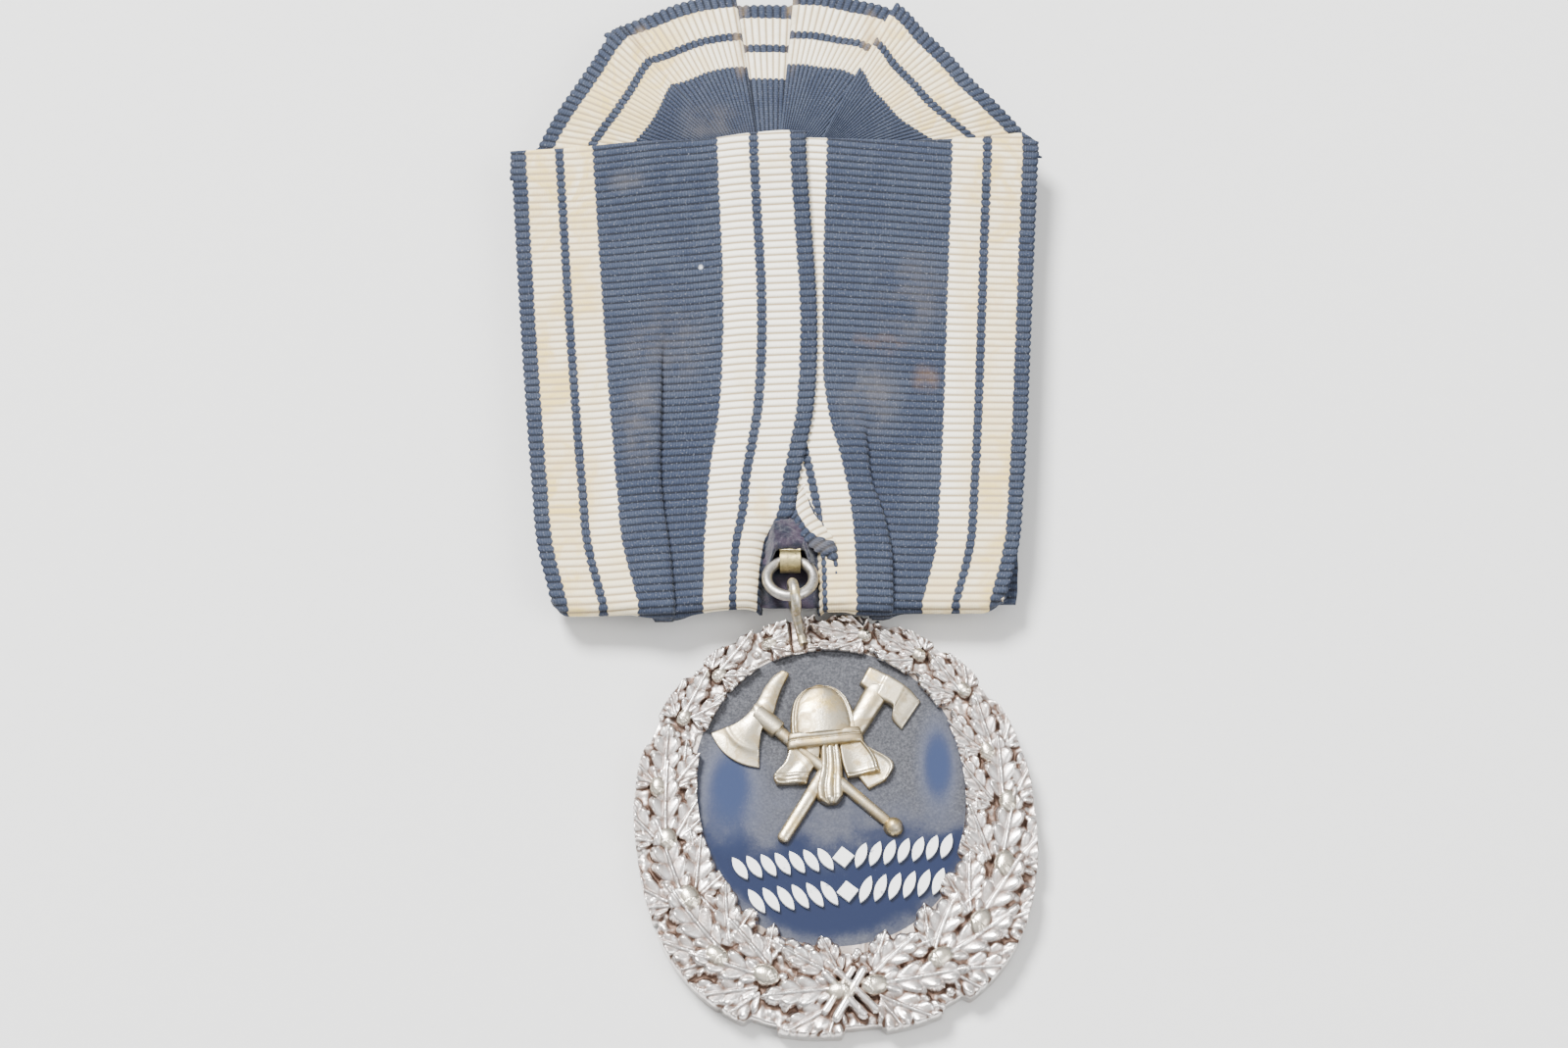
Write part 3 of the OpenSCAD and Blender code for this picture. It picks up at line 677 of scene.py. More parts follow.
def leafRelief(p, q, leaf):
    # a lobed outline, half width = wide * sin(pi a^0.85)^0.6 * lobes; puffed lobes, a sharp midrib,
    # and a slope that lifts the tip over the next leaf. Outside the leaf it is -9.
    dx, dy = p - leaf["at"][0], q - leaf["at"][1]
    c, s = math.cos(leaf["turn"]), math.sin(leaf["turn"])
    a = (dx * c + dy * s) / leaf["length"]
    b = dy * c - dx * s - leaf["bend"] * leaf["length"] * a * a
    inside = np.clip(a, 0.001, 0.999)
    sweep = (1.9 + 0.36 * leaf["length"]) * (inside - 0.80 * np.abs(b) / leaf["length"]) + 0.2
    lobe = np.abs(np.sin(np.pi * sweep))
    edge = leaf["wide"] * np.sin(np.pi * inside ** 0.85) ** 0.6 * (0.70 + 0.30 * lobe ** 0.6)
    within = (edge - np.abs(b)) / leaf["wide"]
    puff = smoothStep(0, 0.30, within)
    lobes = puff * lobe ** 0.8 * np.clip(np.abs(b) / edge, 0, 1) ** 0.7
    rib = np.exp(-(b / (0.075 + 0.05 * (1 - inside))) ** 2) * smoothStep(0, 0.1, within)
    height = leaf["level"] + 0.22 * a + 0.22 * puff + 0.36 * lobes + 0.30 * rib
    return np.where((within > 0) & (a > 0) & (a < 1), height, -9), within


def wreathRelief(p, q, leaves, acorns, berries):
    # the highest of all leaves, acorns, berries and stems at each place, over an uneven floor
    height = wreath["floor"] * 0.6 + 0.09 * ripple(p, q, 0.9, 21)
    covered = np.zeros(p.shape, bool)
    fruit = np.zeros(p.shape)
    for at, r in berries:
        far = np.hypot(p - at[0], q - at[1])
        ball = 0.42 + np.sqrt(np.maximum(r * r - far * far, 0)) * 0.9
        height = np.maximum(height, np.where(far < r, ball, -9))
        covered |= far < r * 0.9
    for leaf in leaves:
        near = np.hypot(p - leaf["at"][0], q - leaf["at"][1]) < leaf["length"] * 1.15
        rise, within = leafRelief(p[near], q[near], leaf)
        height[near] = np.maximum(height[near], rise)
        covered[near] |= rise > -1
    for at, turn, long, wide in acorns:
        c, s = math.cos(turn), math.sin(turn)
        a, b = (p - at[0]) * c + (q - at[1]) * s, (q - at[1]) * c - (p - at[0]) * s
        far = (a / long) ** 2 + (b / wide) ** 2
        cup = smoothStep(-0.05, 0.0, -a - 0.25 * long) * 0.07 * (1 + 0.5 * np.sin(14 * a) * np.sin(14 * b))
        rise = np.where(far < 1, 0.62 + 0.72 * np.sqrt(np.maximum(1 - far, 0)) * wide + cup, -9)
        fruit = np.where(rise > height, 1.0, fruit)
        height = np.maximum(height, rise)
    for x0, y0, x1, y1, r in ((-2.2, -12.8, 0.3, -16.2, 0.36), (-1.3, -12.6, 1.3, -15.9, 0.32),
                              (0.7, -12.8, -1.8, -16.3, 0.36), (-0.1, -12.6, -2.6, -15.7, 0.30)):
        way = np.array([x1 - x0, y1 - y0])
        along = np.clip(((p - x0) * way[0] + (q - y0) * way[1]) / (way @ way), 0, 1)
        far = np.hypot(p - x0 - along * way[0], q - y0 - along * way[1])
        stem = np.where(far < r, 0.78 + np.sqrt(np.maximum(r * r - far * far, 0)) * 1.1, -9)
        height = np.maximum(height, stem)
        covered |= far < r
    notch = smoothStep(0.75, 0.45, np.abs(p - wreath["notchAt"])) * smoothStep(13.2, 14.4, q)
    height = height * (1 - 0.9 * notch)
    return np.minimum(height, wreath["height"] + 0.12), covered, fruit


def blurGrid(values, reach):
    # mean over a window of 2 * reach + 1 in both directions
    for axis in (0, 1):
        pad = [(reach + 1, reach) if k == axis else (0, 0) for k in (0, 1)]
        total = np.cumsum(np.pad(values, pad, mode="edge"), axis=axis)
        n = values.shape[axis]
        high = np.take(total, np.arange(2 * reach + 1, 2 * reach + 1 + n), axis=axis)
        values = (high - np.take(total, np.arange(n), axis=axis)) / (2 * reach + 1)
    return values


def branchPart(side, features):
    # a closed section for each place along the branch: relief over the top, down the outer wall,
    # back under the rim and up inside; the two ends are capped
    inner, outer = branchLines(side, wreath["columns"])
    wide = np.linspace(-0.10, 1.10, wreath["samples"])[:, None]
    p = inner[None, :, 0] + wide * (outer - inner)[None, :, 0]
    q = inner[None, :, 1] + wide * (outer - inner)[None, :, 1]
    _, covered, _ = wreathRelief(p, q, *features)
    low = np.where(covered.any(0), wide[np.argmax(covered, axis=0), 0], 0)
    high = np.where(covered.any(0), wide[::-1][np.argmax(covered[::-1], axis=0), 0], 1)
    kernel = np.ones(5) / 5
    low = np.convolve(np.pad(np.clip(low, -0.08, 0.10), 2, mode="edge"), kernel, "valid")
    reach = 1.00 + 0.01 * smoothStep(0.7, 1, np.linspace(0, 1, wreath["columns"]))
    high = np.convolve(np.pad(np.clip(high, 0.92, reach), 2, mode="edge"), kernel, "valid")
    v = low + (high - low) * np.linspace(0, 1, wreath["rows"])[:, None]
    p = inner[None, :, 0] + v * (outer - inner)[None, :, 0]
    q = inner[None, :, 1] + v * (outer - inner)[None, :, 1]
    height, _, fruit = wreathRelief(p, q, *features)
    hollow = np.clip(0.5 - 1.6 * (height - blurGrid(height, 5)), 0, 1)
    z = medal["plateTop"] + height
    under = []
    for share, level in ((1.0, wreath["footZ"]), (0.90, wreath["footZ"]), (0.86, medal["plateTop"] - 0.15),
                         (0.0, medal["plateTop"] - 0.15)):
        w = low + (high - low) * share
        line = inner + w[:, None] * (outer - inner)
        under.append(toWorld(line[:, 0], line[:, 1], level))
    grid = np.concatenate([toWorld(p, q, z), np.stack(under)])
    rows, columns = grid.shape[:2]
    points = np.concatenate([grid.reshape(-1, 3), grid[:, [0, -1]].mean(axis=0)])
    turnOver = side > 0
    faces = [gridFaces(rows, columns, turnOver=turnOver, closeRows=True)]
    i = np.arange(rows)
    for column, centre, flip in ((0, rows * columns, side < 0),
                                 (columns - 1, rows * columns + 1, side > 0)):
        ring = i * columns + column
        cap = [ring, np.roll(ring, -1), np.full(rows, centre)]
        faces.append(np.stack(cap if flip else cap[::-1], axis=-1))
    extra = np.zeros(4 * columns + 2)
    masks = {"hollow": np.concatenate([hollow.ravel(), extra]),
             "fruit": np.concatenate([fruit.ravel(), extra])}
    return points, faces, masks


def attributeValue(tree, name):
    return addNode(tree, "ShaderNodeAttribute", attribute_name=name).outputs["Fac"]


def struckSilver():
    material, tree, shader = newMaterial("struckSilver", {"Metallic": 1.0})
    place = objectPlace(tree)
    hollow, fruit = attributeValue(tree, "hollow"), attributeValue(tree, "fruit")
    patch = useGroup(tree, blotch, {"Place": place, "Scale": 420.0, "Level": 0.55, "Softness": 0.3})["Mask"]
    fine = noise(tree, place, 5200.0, 4.0, 0.7)
    dirt = mapRange(tree, calc(tree, "MULTIPLY_ADD", fine, 0.25, hollow), 0.46, 0.86)
    bright = mixColour(tree, patch, (0.88, 0.85, 0.83), (0.66, 0.57, 0.52))
    bright = mixColour(tree, calc(tree, "MULTIPLY", fruit, 0.7), bright, (0.62, 0.56, 0.42))
    tree.links.new(mixColour(tree, dirt, bright, (0.13, 0.085, 0.065)), shader.inputs["Base Color"])
    rough = calc(tree, "MULTIPLY_ADD", dirt, 0.35, calc(tree, "MULTIPLY_ADD", fine, 0.14, 0.15))
    tree.links.new(rough, shader.inputs["Roughness"])
    addBump(tree, shader, fine, 0.00004, 0.5)
    return material


features = placeLeaves(np.random.default_rng(wreath["seed"]))
silver = struckSilver()
for label, side in (("wreathLeft", -1), ("wreathRight", 1)):
    points, faces, masks = branchPart(side, features)
    addPiece(buildMesh(label, points, faces, masks=masks), silver, "medal", ["oak_wreath"])
print("wreath made")


fan = {
    "rowsPerRib": 6,
    "thickness": 0.2,
    "pleats": [
        # outer edge from left to right, the point that its ribs run to, height at the edge and
        # under the panels, which ends are folded over a neighbour, reach inwards
        {"edge": [(-21.2, 30.2), (-19.5, 33.6), (-17.8, 36.4), (-16.4, 38.8), (-14.8, 41.6), (-13.9, 42.8)],
         "to": (-3.2, 29.5), "z": (4.15, 3.52), "folded": (0, 1), "reach": 15},
        {"edge": [(-15.4, 42.0), (-13.9, 42.75), (-11.8, 43.7), (-9, 45), (-7, 45.6), (-4.2, 46.1)],
         "to": (-1.5, 26.8), "z": (3.72, 3.3), "folded": (0, 1), "reach": 15.5},
        {"edge": [(-5.5, 45.1), (-2, 45.15), (2.2, 45.1)],
         "to": (-0.8, 18), "z": (3.15, 3.05), "folded": (0, 0), "reach": 16},
        {"edge": [(0.8, 46.3), (3.6, 46.0), (6, 45.4), (8.6, 44.7), (10.6, 43.4), (12.2, 41.2)],
         "to": (-0.6, 28.5), "z": (3.72, 3.3), "folded": (1, 0), "reach": 15.5},
        {"edge": [(9.5, 45.1), (10.3, 44.3), (11.8, 42.3), (14.2, 39.6), (16, 37.2), (18, 35), (20, 32.8),
                  (21.6, 30.4)],
         "to": (2.2, 30), "z": (4.15, 3.52), "folded": (1, 0), "reach": 15},
    ],
}


def pleatPart(pleat):
    # ribs run from the outer edge towards one point; height falls inwards, and a folded end rolls down
    line = smoothPath(pleat["edge"], 400)
    far = np.concatenate([[0], np.cumsum(np.linalg.norm(np.diff(line, axis=0), axis=1))])
    rows = int(far[-1] / ribbon["pitch"] * fan["rowsPerRib"])
    t = np.linspace(0, far[-1], rows)
    edge = np.stack([np.interp(t, far, line[:, k]) for k in (0, 1)], axis=-1)[:, None]
    v = np.linspace(0, pleat["reach"], 56)[None, :]
    inward = np.array(pleat["to"]) - edge
    inward = inward / np.linalg.norm(inward, axis=-1, keepdims=True)
    place = edge + inward * v[..., None]
    high, low = pleat["z"]
    z = low + (high - low) * smoothStep(30.5, 36, place[..., 1])
    z = z + 0.10 * ripple(place[..., 0], place[..., 1], 9, 5)
    z = z + 0.22 * np.sin(np.pi * t / far[-1])[:, None] * smoothStep(30, 36, place[..., 1])
    for end, folded in zip((0, far[-1]), pleat["folded"]):
        if folded:
            near = np.clip(1 - np.abs(t - end) / 0.5, 0, 1)[:, None]
            z = z - 0.34 * (1 - np.sqrt(1 - near**2 * 0.98))
    across, along = np.broadcast_arrays(v - ribbon["half"], t[:, None])
    return ribbonPart(np.concatenate([place, z[..., None]], axis=-1), across, along, fan["thickness"])


def fanYellow(tree, place):
    x, y, _ = splitPlace(tree, place)
    return mapRange(tree, calc(tree, "ABSOLUTE", x), 0.003, 0.010, 0.3, 1.0)


def darkCloth():
    material, tree, shader = newMaterial("brushedDarkCloth", {
        "Roughness": 0.95, "Sheen Weight": 0.35, "Sheen Roughness": 0.4, "Specular IOR Level": 0.1})
    place = objectPlace(tree)
    hair = noise(tree, place, 9000.0, 5.0, 0.75)
    patch = noise(tree, place, 800.0, 3.0)
    colour = mixColour(tree, mapRange(tree, patch, 0.4, 0.65), (0.016, 0.020, 0.036), (0.050, 0.036, 0.060))
    colour = mixColour(tree, mapRange(tree, hair, 0.58, 0.75), colour, (0.14, 0.14, 0.19))
    tree.links.new(colour, shader.inputs["Base Color"])
    addBump(tree, shader, hair, 0.00025, 0.9)
    return material


darkFold = {"thickness": 0.16}


def hoodPart():
    # cloth drawn over the hanger's pin, its lower edge arched over the link
    x, v = np.meshgrid(np.linspace(-2.7, 4.1, 80), np.linspace(0, 1, 80))
    low = -5.45 - 2.6 * smoothStep(0.95, 2.2, np.abs(x - 0.5))
    y = low + (1.7 - low) * v
    over = smoothStep(2.1, 1.2, np.abs(x - 0.5)) * smoothStep(-1.6, -3.4, y)
    roll = np.clip(1 - (y - low) / 0.5, 0, 1) ** 2
    z = 3.30 + 0.95 * over - 0.45 * roll + 0.10 * ripple(x, y, 1.3, 31) + 0.05 * ripple(x, y, 0.45, 32)
    z = np.minimum(z, 3.62 + 2 * np.maximum(0, -1.5 - y))
    front = np.stack([x, y, np.where(over > 0.9, np.maximum(z, 4.12 - 0.45 * roll), z)], axis=-1)
    return shellPoints(front, darkFold["thickness"]), shellFaces(*x.shape), np.stack([x, y], -1)


def cheekPart():
    # dark cloth round the ring: flat on the lining in the middle, drawn up at the sides
    x, y = np.meshgrid(np.linspace(-2.9, 4.3, 72), np.linspace(-9.9, -4.6, 56))
    side = smoothStep(1.6, 3.1, np.abs(x - 0.6))
    z = 2.235 + 1.15 * side * (1 - 0.6 * smoothStep(-8.6, -9.9, y))
    z = z + side * (0.12 * ripple(x, y, 1.2, 33) + 0.05 * ripple(x, y, 0.4, 34))
    front = np.stack([x, y, z], axis=-1)
    back = front - gridNormals(front) * (0.03 + (darkFold["thickness"] - 0.03) * side)[..., None]
    points = np.concatenate([front.reshape(-1, 3), back.reshape(-1, 3)])
    return points, shellFaces(*x.shape), np.stack([x, y], -1)


def twice(part):
    points, faces, weave = part
    weave = weave.reshape(-1, 2)
    return points, faces, np.concatenate([weave, weave])


fanCloth = ribbonMaterial(
    "ribbedFan", fanYellow,
    [(-12.6, 40.5, 3.0, 3.8, 0.9), (-10.2, 43.0, 2.8, 2.8, 0.9), (9.6, 42.6, 2.8, 3.4, 1.0),
     (15.0, 38.5, 3.4, 3.4, 0.7), (18.4, 34.2, 3.0, 3.0, 0.6), (-18.0, 34.6, 3.0, 3.0, 0.7),
     (-6.0, 43.6, 2.4, 2.6, 0.6), (3.4, 43.6, 2.4, 2.6, 0.5)],
    # painted shade: the brown marks lie along the pleats' fold edges
    [(-3.7, 43.0, 0.9, 6.0, 0.7, foldShadeBrown), (0.7, 43.0, 0.8, 6.0, 0.7, foldShadeBrown),
     (7.4, 41.6, 1.0, 3.4, 0.6, foldShadeBrown), (-12.2, 41.2, 0.9, 2.2, 0.5, foldShadeBrown),
     (-6.0, 33.0, 4.0, 3.0, 0.25, dust)])
fanPiece = addPiece(buildMesh("ribbonFan", *joinParts([pleatPart(p) for p in fan["pleats"]])), fanCloth,
                    "bar", ["ribbon_fan"])
cloth = darkCloth()
hood = addPiece(buildMesh("clothHood", *twice(hoodPart())), cloth, "bar",
                ["ribbon_inner_fold"])
cheeks = addPiece(buildMesh("clothCheeks", *twice(cheekPart())), cloth, "bar",
                  ["ribbon_inner_fold"])
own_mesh(hood)
print("fan and dark cloth made")


def reliefPart(left, right, rows, columns, rise, bulge=0.0):
    # a surface ruled from the left line to the right one, both given from the foot up; rise(u, v)
    # is its height at u up and v across, and bulge pushes the foot of it outwards
    left, right = smoothPath(left, rows), smoothPath(right, rows)
    u, v = np.linspace(0, 1, rows)[:, None], np.linspace(0, 1, columns)[None, :]
    flat = left[:, None] * (1 - v[..., None]) + right[:, None] * v[..., None]
    across = right[0] - left[0]
    outward = np.array([across[1], -across[0]]) / np.linalg.norm(across)
    flat = flat + outward * (bulge * 4 * v * (1 - v) * (1 - u) ** 2)[..., None]
    high = medal["plateTop"] + np.broadcast_to(rise(u, v), flat.shape[:2])
    top = toWorld(flat[..., 0], flat[..., 1], high)
    foot = toWorld(flat[..., 0], flat[..., 1], medal["plateTop"] - 0.1)
    points = np.concatenate([top.reshape(-1, 3), foot.reshape(-1, 3)])
    return points, shellFaces(rows, columns), np.zeros((len(points), 2))


def roundedBar(start, end, wideA, wideB, low, high):
    # a half round bar from start to end, with rounded ends
    start, end = np.array(start, float), np.array(end, float)
    way = (end - start) / np.linalg.norm(end - start)
    side = np.array([-way[1], way[0]])
    u = np.linspace(0, 1, 50)
    wide = (wideA + (wideB - wideA) * u) / 2 * np.sqrt(np.clip(1 - np.abs(2 * u - 1) ** 26, 0.02, 1))
    line = start + (end - start) * u[:, None]
    left, right = line + side * wide[:, None], line - side * wide[:, None]

    def rise(u, v):
        crown = np.sqrt(np.clip(1 - (2 * v - 1) ** 2, 0, 1))
        return low + (high - low) * crown * (1 - np.abs(2 * u - 1) ** 20)

    return reliefPart(left, right, 90, 22, rise)


def bead(p, q, radius, high):
    # half a ball with a closed foot
    r, turn = np.linspace(1, 0.001, 18)[:, None], np.linspace(0, 2 * np.pi, 40, endpoint=False)[None, :]
    dome = toWorld(p + radius * r * np.cos(turn), q + radius * r * np.sin(turn),
                   medal["plateTop"] + high * np.sqrt(1 - r**2 * 0.98))
    foot = toWorld(p + radius * np.cos(turn), q + radius * np.sin(turn), medal["plateTop"] - 0.1)
    grid = np.concatenate([foot, dome])
    rows, columns = grid.shape[:2]
    points = np.concatenate([grid.reshape(-1, 3), toWorld(np.array([p, p]), np.array([q, q]),
                             np.array([medal["plateTop"] - 0.1, medal["plateTop"] + high]))])
    j = np.arange(columns)
    after, last = (j + 1) % columns, (rows - 1) * columns
    caps = [np.stack([after, j, np.full(columns, rows * columns)], axis=-1),
            np.stack([last + j, last + after, np.full(columns, rows * columns + 1)], axis=-1)]
    return points, [gridFaces(rows, columns, closeColumns=True), *caps], np.zeros((len(points), 2))


def ridge(value, at, wide):
    return np.exp(-((value - at) / wide) ** 2)


def rounded(value, share=0.12):
    # 0 at both ends of 0..1 and 1 between them, with round shoulders
    return np.sqrt(np.clip(1 - np.clip(1 - np.minimum(value, 1 - value) / share, 0, 1) ** 2, 0, 1))


helmet = {
    "dome": ([(-2.62, 6.8), (-2.6, 7.6), (-2.42, 8.8), (-2.0, 9.85), (-1.3, 10.5), (-0.5, 10.79),
              (-0.05, 10.82)],
             [(2.62, 6.8), (2.6, 7.6), (2.42, 8.8), (2.0, 9.85), (1.3, 10.5), (0.5, 10.79),
              (0.05, 10.82)]),
    "band": ([(-3.05, 5.75), (-2.95, 6.5), (-2.85, 7.1)], [(3.05, 5.75), (2.95, 6.5), (2.85, 7.1)]),
    "flapLeft": ([(-4.2, 3.05), (-4.38, 3.7), (-3.35, 4.9), (-2.85, 6.1)],
                 [(-1.85, 2.85), (-1.5, 3.7), (-0.7, 4.7), (-0.3, 6.1)]),
    "flapUnder": ([(2.95, 1.9), (2.3, 3.0), (1.4, 5.0)], [(4.4, 2.5), (5.2, 3.65), (3.3, 5.5)]),
    "flapRight": ([(1.4, 2.95), (1.15, 4.2), (1.1, 6.1)], [(4.1, 3.15), (3.9, 4.4), (2.85, 6.1)]),
    "strap": ([(-0.5, 0.95), (-1.15, 1.5), (-1.2, 2.2), (-0.65, 4), (-0.4, 6.1)],
              [(0.3, 0.95), (0.85, 1.5), (0.98, 2.2), (1.1, 3.6), (1.1, 6.1)]),
}


def helmetParts():
    def dome(u, v):
        w = 2 * v - 1
        body = 1.32 * np.sqrt(np.clip(1 - 0.93 * w**2, 0, 1)) * np.sqrt(np.clip(1 - 0.8 * u**2.2, 0, 1))
        out = np.maximum(np.abs(w), u)
        rim = 0.16 * ridge(out, 0.93, 0.05)
        return 0.22 + 0.78 * body + rim - 0.10 * ridge(out, 0.84, 0.04)

    def band(u, v):
        body = (0.72 + 0.36 * rounded(v, 0.2)) * (0.75 + 0.25 * rounded(u, 0.25))
        return body - 0.16 * ridge(u, 0.52, 0.06)

    def flapLeft(u, v):
        body = (0.42 + 0.10 * np.cos(9 * v) * (1 - u) + 0.20 * ridge(u, 0.06, 0.07)
                + 0.10 * ridge(u, 0.24, 0.04) + 0.22 * u)
        return body * (0.6 + 0.4 * rounded(v, 0.08)) * (0.7 + 0.3 * rounded(u, 0.05))

    def flapUnder(u, v):
        body = 0.36 + 0.10 * v + 0.14 * ridge(v, 0.93, 0.06)
        return body * (0.6 + 0.4 * rounded(v, 0.08)) * (0.6 + 0.4 * rounded(u, 0.06))

    def flapRight(u, v):
        body = (0.56 + 0.10 * np.cos(7 * v + 1) * (1 - u) + 0.20 * ridge(v, 0.90, 0.05)
                + 0.16 * ridge(u, 0.05, 0.06) + 0.12 * u)
        return body * (0.6 + 0.4 * rounded(v, 0.06)) * (0.7 + 0.3 * rounded(u, 0.05))

    def strap(u, v):
        ribs = 0.17 * np.abs(np.sin(3 * np.pi * v)) ** 0.7
        body = 0.58 + ribs + 0.10 * ridge(u, 0.14, 0.05)
        return body * (0.55 + 0.45 * rounded(v, 0.14)) * (0.5 + 0.5 * rounded(u, 0.08))

    shapes = ((dome, "dome", 60, 60), (band, "band", 24, 60), (flapLeft, "flapLeft", 50, 44),
              (flapUnder, "flapUnder", 40, 34), (flapRight, "flapRight", 50, 44), (strap, "strap", 70, 36))
    return [reliefPart(*helmet[key], rows, columns, rise) for rise, key, rows, columns in shapes]


axe = {
    "head": ([(-8.85, 8.0), (-6.35, 8.75), (-5.1, 9.9), (-4.1, 11.35), (-3.35, 12.15), (-2.75, 12.5)],
             [(-5.4, 4.7), (-5.2, 6.5), (-4.75, 7.9), (-3.9, 8.8), (-3.4, 10.0), (-2.85, 11.15),
              (-2.2, 12.2)]),
    "socket": ((-5.1, 9.3), (-3.5, 7.5), 1.5, 1.5),
    "shaft": ((-4.5, 8.6), (4.3, -1.15), 1.0, 0.9),
    "ball": (4.5, -1.35, 0.78, 0.95),
}
hatchet = {
    "head": ([(6.15, 6.6), (5.5, 7.6), (5.65, 8.45), (4.85, 9.1), (3.3, 10.7)],
             [(7.95, 8.75), (7.3, 9.7), (6.25, 10.7), (5.2, 11.5), (4.25, 12.1)]),
    "neck": ((1.6, 5.9), (4.9, 10.3), 1.55, 2.0),
    "handle": ((-4.4, -1.6), (0.4, 4.6), 1.0, 1.15),
}


def axeParts():
    def head(u, v):
        thick = 0.30 + 0.50 * smoothStep(0, 0.42, u) - 0.15 * smoothStep(0.7, 1, u)
        crown = np.sqrt(np.clip(1 - 0.75 * (2 * v - 1) ** 2, 0, 1))
        return thick * (0.55 + 0.45 * crown) + 0.10 * ridge(u, 0.16, 0.03) + 0.12 * ridge(u, 0.52, 0.04)

    return [reliefPart(*axe["head"], 90, 40, head, bulge=0.75),
            roundedBar(*axe["socket"], 0.5, 0.98), roundedBar(*axe["shaft"], 0.30, 0.66),
            bead(*axe["ball"])]


def hatchetParts():
    def head(u, v):
        crown = rounded(v, 0.14)
        block = 0.12 * smoothStep(0.30, 0.36, u) * smoothStep(0.72, 0.66, u)
        body = 0.34 + 0.34 * smoothStep(0, 0.3, u) + block
        return body * (0.6 + 0.4 * crown) * (0.7 + 0.3 * rounded(u, 0.05))

    return [reliefPart(*hatchet["head"], 80, 40, head), roundedBar(*hatchet["neck"], 0.34, 0.80),
            roundedBar(*hatchet["handle"], 0.30, 0.64)]


def wornSilver(name, spots):
    # silvering rubbed through to the brass at the given spots, dark where dirt stays
    material, tree, shader = newMaterial(name, {"Metallic": 1.0})
    place = objectPlace(tree)
    patch = useGroup(tree, blotch,
                     {"Place": place, "Scale": 520.0, "Level": 0.52, "Softness": 0.25})["Mask"]
    fine = noise(tree, place, 4200.0, 4.0, 0.7)
    colour = mixColour(tree, patch, (0.56, 0.50, 0.38), (0.34, 0.27, 0.16))
    for x, y, across, along, strength in spots:
        worn = calc(tree, "MULTIPLY", ellipseMask(tree, place, x, y, across, along),
                    mapRange(tree, noise(tree, place, 900.0, 4.0), 0.35, 0.6))
        colour = mixColour(tree, calc(tree, "MULTIPLY", worn, strength), colour, (0.60, 0.44, 0.17))
    dull = mapRange(tree, fine, 0.55, 0.72)
    tree.links.new(mixColour(tree, calc(tree, "MULTIPLY", dull, 0.6), colour, (0.20, 0.16, 0.12)),
                   shader.inputs["Base Color"])
    tree.links.new(calc(tree, "MULTIPLY_ADD", patch, 0.22, calc(tree, "MULTIPLY_ADD", fine, 0.2, 0.20)),
                   shader.inputs["Roughness"])
    addBump(tree, shader, fine, 0.00003, 0.5)
    return material


def wornAt(*spots):
    # spots in medal coordinates, as (p, q, across, along, strength), moved to where the badge lies
    return [(*toWorld(p, q, 0)[:2], a, b, strength) for p, q, a, b, strength in spots]


for label, parts, node, spots in (
        ("helmetRelief", helmetParts(), "helmet_badge",
         wornAt((0.2, 9.2, 2.2, 1.5, 0.9), (0.3, 6.1, 3.2, 0.5, 1.0), (0.3, 3.6, 0.5, 2.2, 0.8),
                (3.6, 2.9, 1.6, 0.7, 0.7))),
        ("axeRelief", axeParts(), "axe_badge",
         wornAt((4.5, -1.35, 1.3, 1.3, 1.0), (1.8, 1.6, 1.4, 1.6, 0.4), (-2.6, 12.0, 0.9, 0.9, 0.6))),
        ("hatchetRelief", hatchetParts(), "hatchet_badge",
         wornAt((-3.2, 0.0, 1.8, 2.2, 0.6), (3.8, 9.2, 1.6, 1.4, 0.4), (4.2, 11.2, 0.9, 0.9, 0.7)))):
    points, faces, _ = joinParts(parts)
    addPiece(buildMesh(label, points, faces), wornSilver(label + "Metal", spots),
             "medal", [node])
print("badge made")


backing = {
    "stitch": 0.15,         # radius of the sewing thread
    "step": 3.4,            # from stitch to stitch
}


def flatPart(name, inset, sag, seed):
    # a four sided sheet inside the CAD node's box, as wide as the node at the head and the foot;
    # one that may sag is pressed flat in the hanger's opening
    low, high = nodeBox(name)
    footHalf, topHalf = nodeBox("ribbon_right_panel")[1][0] - 3.2 - inset, high[0] - inset
    u, v = np.meshgrid(np.linspace(-1, 1, 120), np.linspace(0, 1, 120))
    y = low[1] + inset + v * (high[1] - low[1] - 2 * inset)
    x = u * (footHalf + (topHalf - footHalf) * v) + 0.06 * ripple(u * 20, y, 2.5, seed) * np.abs(u) ** 20
    z = high[2] - sag * (1 + ripple(x, y, 8, seed)) / 2
    opening = smoothStep(3.3, 3.0, np.abs(x - 0.5)) * smoothStep(-3.0, -3.4, y)
    z = z - (z - low[2] - 0.02) * opening * (sag > 0)
    front, back = np.stack([x, y, z], axis=-1), np.stack([x, y, np.full(x.shape, low[2])], axis=-1)
    points = np.concatenate([front.reshape(-1, 3), back.reshape(-1, 3)])
    weave = np.stack([x, y], axis=-1).reshape(-1, 2)
    return points, shellFaces(*x.shape), np.concatenate([weave, weave])


def stitchParts():
    # slanting stitches round the lining, each a short loop that dips into the felt
    low, high = nodeBox("back_lining")
    footHalf = nodeBox("ribbon_right_panel")[1][0] - 3.2
    corners = np.array([(-footHalf, low[1]), (footHalf, low[1]), (high[0], high[1]), (-high[0], high[1])])
    corners = corners * [1, 1] + np.sign(corners - [0, (low[1] + high[1]) / 2]) * -1.9
    parts = []
    for start, end in zip(corners, np.roll(corners, -1, axis=0)):
        way = (end - start) / np.linalg.norm(end - start)
        for far in np.arange(backing["step"] / 2, np.linalg.norm(end - start), backing["step"]):
            a = np.linspace(-1, 1, 9)[:, None]
            slant = way * 0.45 + np.array([-way[1], way[0]]) * 0.55
            flat = start + way * far + a * slant
            z = low[2] + 0.16 - 0.22 * (1 - a**2)
            parts.append(tubePart(np.concatenate([flat, z], axis=1), backing["stitch"], 8))
    return parts


